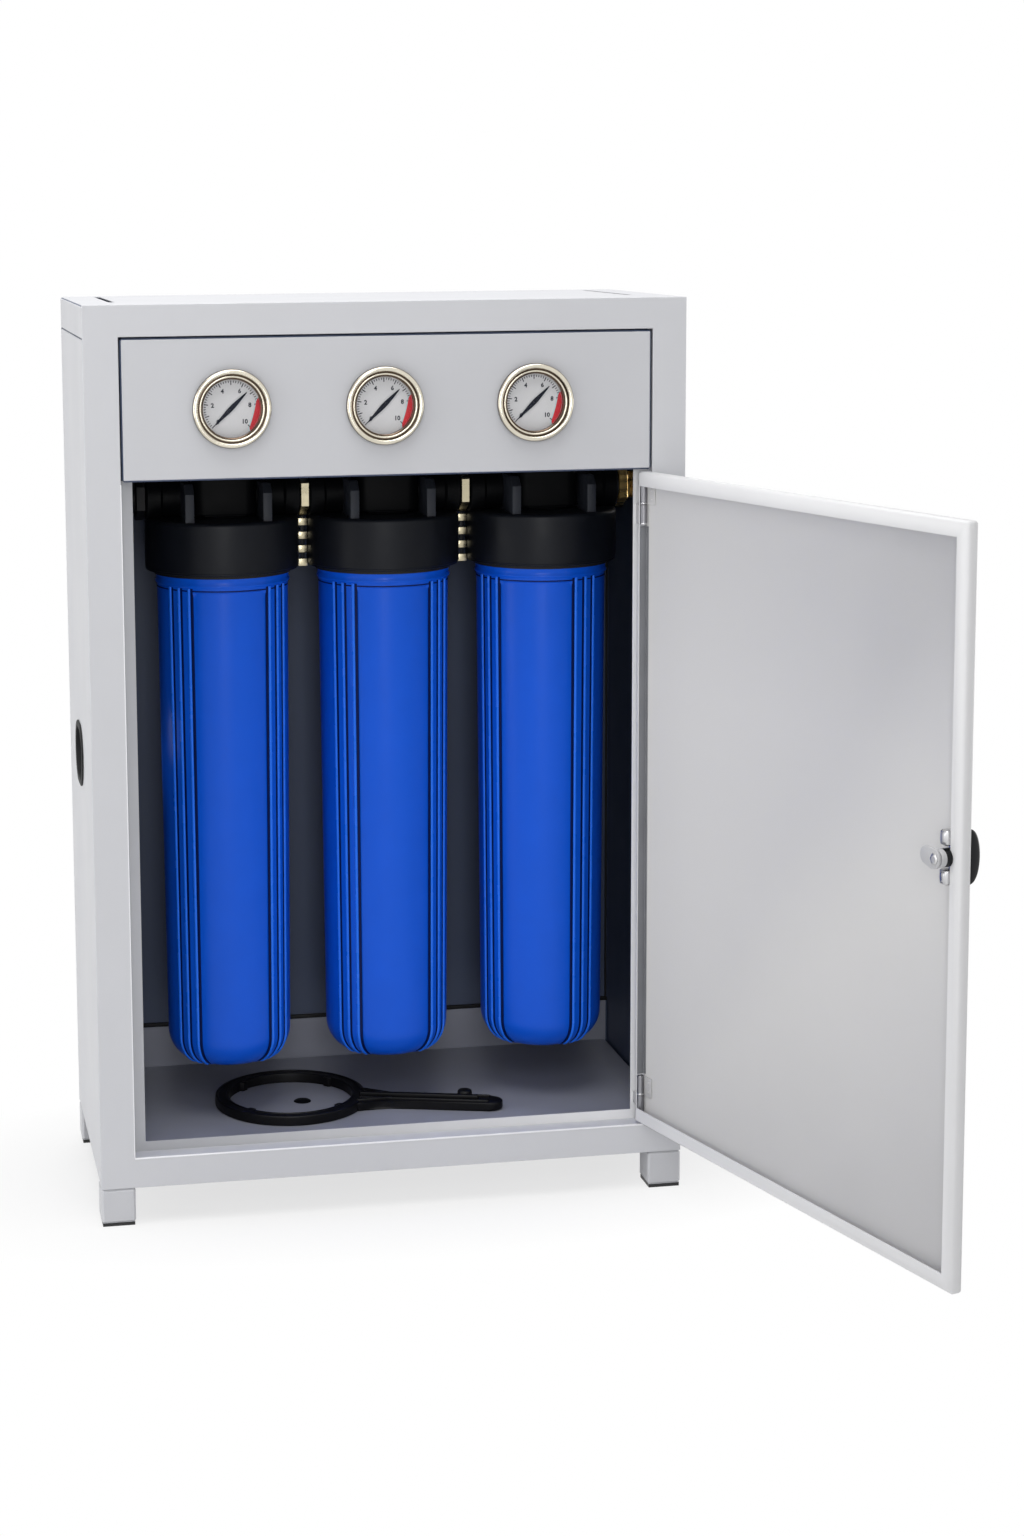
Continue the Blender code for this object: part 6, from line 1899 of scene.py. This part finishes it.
@dataclass
class Door:
    """Door leaf with a dark strip of painted shade in its hinge recess, its hinges and its cam latch."""

    shop: Workshop
    leaf_right: float = 303.5 * MM
    lip_top: float = 101.2 * MM
    lip_cut: float = 13 * MM
    notch: float = 3.9 * MM
    facing: float = 0.9
    recess_shade: tuple[float, float] = (142 * MM, 805 * MM)
    knuckle: float = 4.5 * MM
    latch_x: float = -285.5 * MM
    latch_z: float = 532 * MM
    handle_length: float = 57 * MM
    handle_width: float = 19 * MM
    handle_rise: float = 17.5 * MM
    handle_aside: float = -3 * MM
    squareness: float = 0.55
    cam_depth: float = 26.4 * MM

    def latch_frame(self) -> Matrix:
        """Return the frame of the latch: Z out of the door, Y up."""
        x, y = self.latch_x - self.shop.pivot[0], -self.shop.pivot[1]
        return self.shop.door() @ shift(x, y, self.latch_z) @ turn(90, "X")

    def handle(self) -> Mesh:
        """Bowed handle with soft edges.

        Returns:
            Its mesh in the latch's frame.
        """
        rows, steps, corners = [], 28, 24
        for step in range(steps + 1):
            along = math.cos(math.pi * step / steps)
            bow = math.sin(math.pi * step / steps) ** 0.60
            row = []
            for corner in range(corners):
                angle = 2 * math.pi * corner / corners
                side, rise = (math.copysign(abs(value) ** self.squareness, value)
                              for value in (math.cos(angle), math.sin(angle)))
                width = self.handle_width / 2 * (0.72 + 0.28 * bow)
                top = self.handle_rise * max(0.14, bow)
                row.append(Vector((side * width + self.handle_aside, along * self.handle_length / 2,
                                   2.3 * MM + top * (rise + 1) / 2)))
            rows.append(row)
        return loft(rows)

    def latch(self) -> None:
        """Handle, shaft, barrel, bracket and tongue of the latch."""
        frame, add, cam = self.latch_frame(), self.shop.piece, -self.cam_depth
        add("latch_handle_bow", self.handle(), HANDLE_BLACK, "latch", Slot.BLACK, ("latch_handle",), frame,
            sharp=55)
        end = cam - 4.8 * MM
        shaft = lathe([(0, 6 * MM), (4 * MM, 6 * MM), (4 * MM, end + 0.6 * MM), (3.4 * MM, end), (0, end)], 32)
        nut = lathe([(3.6 * MM, cam - 2.8 * MM), (6 * MM, cam - 2.8 * MM), (6 * MM, end + 0.9 * MM),
                     (5.2 * MM, end + 0.4 * MM), (3.6 * MM, end + 0.4 * MM)], 6, closed=True)
        add("latch_shaft", joined(shaft, nut), ZINC, "latch", Slot.ZINC, (), frame)
        barrel = lathe(mm((4.3, 2), (13.6, 2), (15, 0.9), (15, 0.3), (9.5, 0.3), (9.5, -20.4), (4.3, -20.4)),
                       48, closed=True)
        sleeve = lathe(mm((4.3, -20.5), (9.4, -20.5), (9.4, -24.6), (8.4, -26.1), (4.3, -26.1)),
                       48, closed=True)
        add("latch_sleeve", sleeve, TONGUE_GREY, "door", Slot.ZINC, (), frame)
        add("latch_barrel", barrel, HANDLE_BLACK, "door", Slot.BLACK, ("latch_body",), frame)
        plate = prism(rounded(8 * MM, 24 * MM, 3 * MM, 4), -3.4 * MM, -1.8 * MM, 0.4 * MM, 2)
        lugs = []
        for side in SIDES:
            lug = block((-4.9 * MM, -8 * MM, -18 * MM), (7.5 * MM, 8 * MM, -2.2 * MM), 2.6 * MM, 4)
            pad = block((-3.4 * MM, -5.6 * MM, -19 * MM), (6.0 * MM, 5.6 * MM, -14 * MM), 2.0 * MM, 3)
            lugs.append(moved(joined(lug, pad), shift(0, side * 20.0 * MM, 0)))
        add("latch_plate", joined(plate, *lugs), BRIGHT_ZINC, "door", Slot.ZINC, ("latch_bracket",), frame)
        tongue = mm((-7.2, -4), (-7.2, 4), (-3, 9.6)) + arc((13 * MM, 1.2 * MM), 10.4 * MM, 84, -50, 10)
        tongue += mm((6, -11.4), (-3, -9.6))
        add("latch_tongue", prism(tongue, cam - 3.0 * MM, cam, 0.9 * MM, 3), TONGUE_GREY, "latch", Slot.ZINC,
            ("latch_cam",), frame)

    def hinge(self, label: str) -> None:
        """One hinge: two turned knuckles with bright end rings, their leaves and the pin.

        Args:
            label: Which hinge, top or bottom.
        """
        low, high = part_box(f"hinge_frame_half_{label}")
        door_low, door_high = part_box(f"hinge_door_half_{label}")
        axis = self.shop.cabinet(self.shop.pivot[0], self.shop.pivot[1], 0)
        radius, hole, add = self.knuckle, 2.35 * MM, self.shop.piece
        for half, start, end, body, placing in (
                ("frame", low.z, door_low.z - 0.3 * MM, "cabinet", axis),
                ("door", door_low.z, door_high.z, "door", self.shop.door())):
            foot = start + 2.4 * MM
            barrel = lathe([(hole, foot), (radius - 0.35 * MM, foot), (radius - 0.35 * MM, end - 0.4 * MM),
                            (radius - 0.8 * MM, end), (hole, end)], 40, closed=True)
            ring = lathe([(hole, start), (radius - 0.7 * MM, start), (radius, start + 0.6 * MM),
                          (radius, start + 1.9 * MM), (radius - 0.5 * MM, start + 2.5 * MM),
                          (hole, start + 2.5 * MM)], 40, closed=True)
            name = f"hinge_{half}"
            add(f"{name}_{label}", barrel, HINGE_STEEL, body, Slot.ZINC, (f"{name}_half_{label}",), placing,
                sharp=30)
            add(f"{name}_leaf_{label}", self.leaf(half, start, end), DOOR_PAINTED_SHADE, body, Slot.PAINT, (), placing,
                sharp=30)
            add(f"{name}_ring_{label}", ring, BRIGHT_ZINC, body, Slot.ZINC, (), placing, sharp=30)
        foot = low.z + 0.3 * MM
        pin = lathe([(0, high.z), (1.7 * MM, high.z), (2.0 * MM, high.z - 0.4 * MM), (2.0 * MM, foot),
                     (0, foot)], 24)
        add(f"hinge_pin_{label}", pin, BRIGHT_ZINC, "cabinet", Slot.ZINC, (), axis)

    def leaf(self, half: str, start: float, end: float) -> Mesh:
        """Leaf of a hinge half with the heads of its rivets.

        Args:
            half: The frame half or the door half.
            start: Its lowest height.
            end: Its highest height.

        Returns:
            The leaf's mesh about the hinge axis.
        """
        radius = self.knuckle
        if half == "frame":
            rear = 24.3 * MM - 0.3 * MM - self.shop.pivot[1]
            lowest = max(start + 0.4 * MM, self.lip_top)
            return block((-radius, 0.5 * MM, lowest), (-2.4 * MM, rear, end - 0.2 * MM), 0.5 * MM, 2)
        plate = block((-19 * MM, -radius, start + 0.2 * MM), (0, -radius + 1.5 * MM, end - 0.2 * MM),
                      0.4 * MM, 2)
        rivets = []
        for share in (0.27, 0.73):
            head = lathe(mm((0, 1.1), (1.4, 0.9), (2.2, 0), (0, -0.4)), 20)
            place = shift(-13 * MM, -radius + 1.5 * MM, start + (end - start) * share)
            rivets.append(moved(head, place @ turn(-90, "X")))
        return joined(plate, *rivets)

    def pan(self) -> None:
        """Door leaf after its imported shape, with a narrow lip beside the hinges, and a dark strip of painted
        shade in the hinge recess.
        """
        door = self.shop.door()
        bm = bmesh.new()
        bm.from_mesh(self.shop.frame["nodes"]["door_panel"].data)
        moved(bm, door.inverted())
        right = self.leaf_right - self.shop.pivot[0]
        inner = 14 * MM - self.shop.pivot[1]
        for vert in bm.verts:
            if vert.co.y > inner - 3 * MM and right - 20 * MM < vert.co.x < right - 13 * MM:
                vert.co.x += self.lip_cut
            elif vert.co.y > inner - 3 * MM and right - 10 * MM < vert.co.x < right - 7 * MM:
                vert.co.x = right - self.notch
        bm.normal_update()
        # Inner faces take the door's painted shade, the outer face plain paint, and the lips and edges the
        # lips' painted highlight.
        for face in bm.faces:
            depth = face.calc_center_median().y
            if face.normal.y > self.facing and depth < inner - 5 * MM:
                face.material_index = 1
            elif face.normal.y < -self.facing and depth < inner - 12 * MM:
                face.material_index = 2
        self.shop.piece("door_leaf", bm, LIP_PAINTED_HIGHLIGHT, "door", Slot.PAINT, ("door_panel",), door, sharp=30,
                        others=(DOOR_PAINTED_SHADE, PAINT))
        # Painted shade: a dark strip and its base in the hinge recess, where the door's hinge-side wall lies in
        # shade.
        low, high = self.recess_shade
        recess_shade = block((right - 2.4 * MM, inner - 12.2 * MM, low), (right - 1.6 * MM, inner - 1.6 * MM, high),
                       0.3 * MM, 2)
        base = block((right - 6.5 * MM, inner - 12.4 * MM, low), (right - 1.6 * MM, inner - 11.8 * MM, high),
                     0.25 * MM, 2)
        self.shop.piece("hinge_recess_shade", joined(recess_shade, base), HINGE_RECESS_SHADE, "door", Slot.RUBBER, (), door)

    def build(self) -> None:
        """Build and dress the door."""
        self.pan()
        self.latch()
        for label in ("top", "bottom"):
            self.hinge(label)


@dataclass
class Spanner:
    """Sump spanner on the floor tray: toothed ring, flaring handle, ribs and knob."""

    shop: Workshop
    x: float = -103 * MM
    y: float = 156 * MM
    angle: float = -17.0
    thickness: float = 12 * MM
    inner: float = 76 * MM
    outer: float = 92.5 * MM
    handle_length: float = 170 * MM
    handle_width: float = 30 * MM
    teeth: int = 4
    first_tooth: float = 60.0
    knob: tuple[float, float] = (215 * MM, 10 * MM)

    def ring(self) -> Mesh:
        """Ring with a raised rim on its outer and inner edge.

        Returns:
            Its mesh.
        """
        top, inner, outer = self.thickness, self.inner, self.outer
        profile = [(inner + 0.6 * MM, 0), (outer - 0.8 * MM, 0), (outer, 0.8 * MM), (outer, top - 1.6 * MM)]
        profile += arc((outer - 1.6 * MM, top - 1.6 * MM), 1.6 * MM, 0, 90, 4)
        profile += [(outer - 3.2 * MM, top), (outer - 4.2 * MM, top - 1.0 * MM),
                    (inner + 3.4 * MM, top - 1.0 * MM), (inner + 2.6 * MM, top - 0.2 * MM)]
        profile += arc((inner + 1.2 * MM, top - 1.4 * MM), 1.2 * MM, 90, 180, 3)
        return lathe([*profile, (inner, 0.6 * MM)], 128, closed=True)

    def handle(self) -> Mesh:
        """Handle that flares into the ring, with raised ribs and a knob.

        Returns:
            Its mesh.
        """
        top, half, end = self.thickness - 1.2 * MM, self.handle_width / 2, self.outer + self.handle_length
        inner, outer, thick = self.inner + 3 * MM, self.outer, self.thickness
        edge = [(inner + 1 * MM, 34 * MM), (outer - 1 * MM, 29 * MM), (outer + 8 * MM, 22 * MM),
                (outer + 18 * MM, 18 * MM), (outer + 34 * MM, 16 * MM), (outer + 56 * MM, half)]
        outline = [(x, -y) for x, y in edge] + arc((end - half, 0), half, -90, 90, 14) + edge[::-1]
        made = [prism(outline, 0.2 * MM, top, 2.2 * MM, 3)]
        for width, aside, share in ((7.0, 0.0, 1.0), (2.6, 10.2, 0.45), (2.6, -10.2, 0.45)):
            height = top + (thick + 4 * MM - top) * share
            made.append(block((outer - 6 * MM, (aside - width / 2) * MM, top - 3 * MM),
                              (end - 30 * MM * (1 if not aside else 0.55), (aside + width / 2) * MM, height),
                              1.2 * MM, 3))
        for side in SIDES:
            brace = block((0, -1.6 * MM, top - 3 * MM), (44 * MM, 1.6 * MM, thick + 1.6 * MM), 1.2 * MM, 3)
            made.append(moved(brace, shift(outer - 7 * MM, side * 23 * MM, 0) @ turn(side * -20, "Z")))
        knob = lathe([(0, thick + 7 * MM), (6.6 * MM, thick + 7 * MM), (8.4 * MM, thick + 5.8 * MM),
                      (9 * MM, thick + 4 * MM), (9 * MM, 0.6 * MM), (0, 0.6 * MM)], 40)
        return joined(*made, moved(knob, shift(*self.knob, 0)))

    def tooth(self) -> Mesh:
        """One lug inside the ring, at the first of its places.

        Returns:
            Its mesh.
        """
        inner = self.inner
        outline = [(inner + 2 * MM, -7 * MM), (inner + 2 * MM, 7 * MM), (inner - 3 * MM, 4.6 * MM),
                   (inner - 5 * MM, 3.4 * MM), (inner - 5 * MM, -3.4 * MM), (inner - 3 * MM, -4.6 * MM)]
        return prism(outline, 0.6 * MM, self.thickness - 0.6 * MM, 0.8 * MM, 2)

    def build(self) -> None:
        """Build and dress the spanner."""
        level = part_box("sump_spanner")[0].z
        placing = self.shop.cabinet(self.x, self.y, level) @ turn(self.angle, "Z")
        teeth = self.shop.ring(self.tooth(), SPANNER_BLACK, self.first_tooth, self.teeth, 360 / self.teeth)
        self.shop.piece("spanner", joined(self.ring(), self.handle(), teeth), SPANNER_BLACK, "spanner",
                        Slot.SPANNER, ("sump_spanner",), placing)


@dataclass
class Cabinet:
    """Sheet steel cabinet: finishes with painted shade inside, pipe hole edging, screws, black strips of
    painted shade, painted edge highlights and a dark drain plug of painted shade.
    """

    shop: Workshop
    width: float = 700 * MM
    depth: float = 340 * MM
    sheet: float = 1.5 * MM
    drain: tuple[float, float] = (-88 * MM, 156 * MM)
    tray_level: float = 85 * MM
    rear_shade_top: float = 1.030
    opening_half: float = 310 * MM
    sill: float = 81 * MM
    lintel: float = 0.870
    scuff_place: float = 317 * MM
    screw_inset: float = 12 * MM

    def corners(self, y_low: float, y_high: float) -> tuple[Point, Point]:
        """Space inside the sheets.

        Args:
            y_low: Depth where it begins.
            y_high: Depth where it ends.

        Returns:
            Its lowest and its highest corner.
        """
        half = self.width / 2 - 0.7 * MM
        low = self.shop.origin + Vector((-half, y_low, 45.5 * MM))
        high = self.shop.origin + Vector((half, y_high, 1071.2 * MM))
        return tuple(low), tuple(high)

    def paint(self) -> None:
        """Dress the sheet metal, with painted shade on its faces inside the cabinet."""
        # The shell and the gauge panel take painted shade inside these corners.
        low, high = self.corners(1.9 * MM, self.depth - 0.7 * MM)
        shell = InsideShadePaint("cabinet_powder_coat", PAINT_GREY, 0.44, low=low, high=high)
        low, high = self.corners(0.8 * MM, self.depth)
        panel = InsideShadePaint("gauge_panel_powder_coat", PANEL_GREY, 0.42, low=low, high=high)
        places = tuple(self.shop.origin.x + side * self.scuff_place for side in SIDES)
        # Painted shade: the tray's dark colour stands in for the shade inside the cabinet; the scuffs are wear.
        tray = TrayPaint("tray_painted_shade", (0.27, 0.28, 0.33), 0.38, tone=0.10, dust=0.06, places=places)
        dress = self.shop.dress
        dress(PAINT, "front_frame")
        dress(RABBET_PAINTED_LIGHT, "door_rabbet")
        dress(shell, "side_panel_left", "side_panel_right", "back_panel", "top_cover")
        dress(tray, "floor_tray")
        dress(panel, "gauge_panel")
        dress(FOOT_PAINT, "foot_front_left", "foot_front_right", "foot_rear_left", "foot_rear_right")
        dress(ZINC, "head_bracket")

    def edging(self) -> None:
        """Rubber edging with two lips in the long pipe hole of the left side."""
        low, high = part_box("side_grommet")
        radius = (high.z - low.z) / 2
        half = (high.y - low.y) / 2 - radius
        profile: Profile = [(radius - 7.3 * MM, high.x - 0.7 * MM), (radius - 7.3 * MM, low.x + 0.7 * MM)]
        for face, inward in ((low.x, 1), (high.x, -1)):
            lip = [(radius - 6.4 * MM, face), (radius - 1.0 * MM, face), (radius, face + inward * 0.7 * MM),
                   (radius, face + inward * 2 * MM), (radius - 5.4 * MM, face + inward * 2 * MM)]
            profile += lip[::inward]
        bm = lathe(profile, 96, closed=True)
        for vert in bm.verts:
            vert.co.y += half if vert.co.y > -1e-6 else -half
        self.shop.piece("pipe_hole_edging", bm, RUBBER, "cabinet", Slot.RUBBER, ("side_grommet",),
                        shift(0, (low.y + high.y) / 2, (low.z + high.z) / 2) @ turn(90, "Y"))

    def seals(self) -> None:
        """Dress the sealing rings and the cartridges."""
        for number in HOUSINGS:
            self.shop.dress(RUBBER, f"sealing_ring_{number}")
            cap = FilterHead(self.shop, number)
            media = Pleats(f"pleated_media_{number}", (0.75, 0.74, 0.70), 0.85, specular=0.2, grain_height=0.2,
                           tone=0.05, centre=(cap.x, cap.y))
            self.shop.dress(media, f"filter_cartridge_{number}")

    def screws(self) -> None:
        """Rows of pan head screws along the edges of the back panel."""
        head = mm((0, 1.7), (1.6, 1.65), (3.0, 1.2), (3.7, 0.3), (3.7, -0.2), (0, -0.2))
        low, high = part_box("back_panel")
        inset, y = self.screw_inset, high.y
        height = high.z - low.z - 2 * inset
        width = high.x - low.x - 2 * inset
        upright = [(x, y, low.z + inset) for x in (low.x + inset, high.x - inset)]
        level = [(low.x + inset + width / 3, y, z) for z in (low.z + inset, high.z - inset)]
        rows = []
        for count, offset, places in ((6, (0, 0, height / 5), upright), (2, (width / 3, 0, 0), level)):
            for place in places:
                row = self.shop.row(moved(lathe(head, 20), turn(-90, "X")), ZINC, count, offset)
                rows.append(moved(row, shift(*place)))
        self.shop.piece("back_screws", joined(*rows), ZINC, "cabinet", Slot.ZINC)

    def rear_shade_strips(self) -> None:
        """Black strips behind the tray and in the rear corners, painted shade where the gaps there show dark.
        """
        tray_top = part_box("floor_tray")[1].z
        rear = self.depth - self.sheet - 0.4 * MM
        half = self.width / 2 - self.sheet - 0.4 * MM
        made = [block((-half, rear - 5 * MM, tray_top), (half, rear, tray_top + 4.6 * MM), 0.8 * MM, 2)]
        for side in SIDES:
            near, far = sorted((side * half, side * (half - 3 * MM)))
            made.append(block((near, rear - 3 * MM, tray_top + 4 * MM), (far, rear, self.rear_shade_top),
                              0.8 * MM, 2))
        self.shop.piece("rear_gap_painted_shade", joined(*made), RUBBER, "cabinet", Slot.RUBBER, (),
                        self.shop.cabinet(0, 0, 0))

    def edges(self) -> None:
        """Painted highlights along the bent edges at the sill and the left side of the opening."""
        half, sill = self.opening_half, self.sill
        front, back = -0.5 * MM, 1.0 * MM
        made = [block((-half, front, sill - 1.6 * MM), (half, back, sill + 0.4 * MM), 0.4 * MM, 2),
                block((-half - 0.6 * MM, front, sill), (-half + 0.4 * MM, back, self.lintel), 0.3 * MM, 2)]
        self.shop.piece("opening_edge_highlights", joined(*made), EDGE_PAINTED_HIGHLIGHT, "cabinet", Slot.PAINT, (),
                        self.shop.cabinet(0, 0, 0))

    def drain_shade(self) -> None:
        """Low dark plug in the drain hole of the tray, painted shade where the hole shows dark."""
        level = self.tray_level
        profile = [(0, level + 1.6 * MM), (8.8 * MM, level + 1.5 * MM), (10.8 * MM, level + 0.2 * MM),
                   (8.6 * MM, level + 0.05 * MM), (8.6 * MM, level - 1.4 * MM), (0, level - 1.4 * MM)]
        self.shop.piece("drain_hole_painted_shade", lathe(profile, 48), HUB_PAINTED_SHADE, "cabinet", Slot.RUBBER, (),
                        self.shop.cabinet(*self.drain, 0))

    def build(self) -> None:
        """Build and dress all that is on the cabinet."""
        self.paint()
        self.edging()
        self.seals()
        self.screws()
        self.rear_shade_strips()
        self.edges()
        self.drain_shade()


def main() -> None:
    """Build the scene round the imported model."""
    logging.basicConfig(level=logging.INFO, format="%(name)s: %(message)s")
    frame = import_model()
    shop = Workshop(frame)
    Studio(shop).build()
    Cabinet(shop).build()
    for number in HOUSINGS:
        FilterHead(shop, number).build()
        FilterSump(shop, number, turned=-18.0 if number == 3 else 0.0).build()
        Gauge(shop, number).build()
    Pipework(shop).build()
    Door(shop).build()
    Spanner(shop).build()


if __name__ == "__main__":
    main()
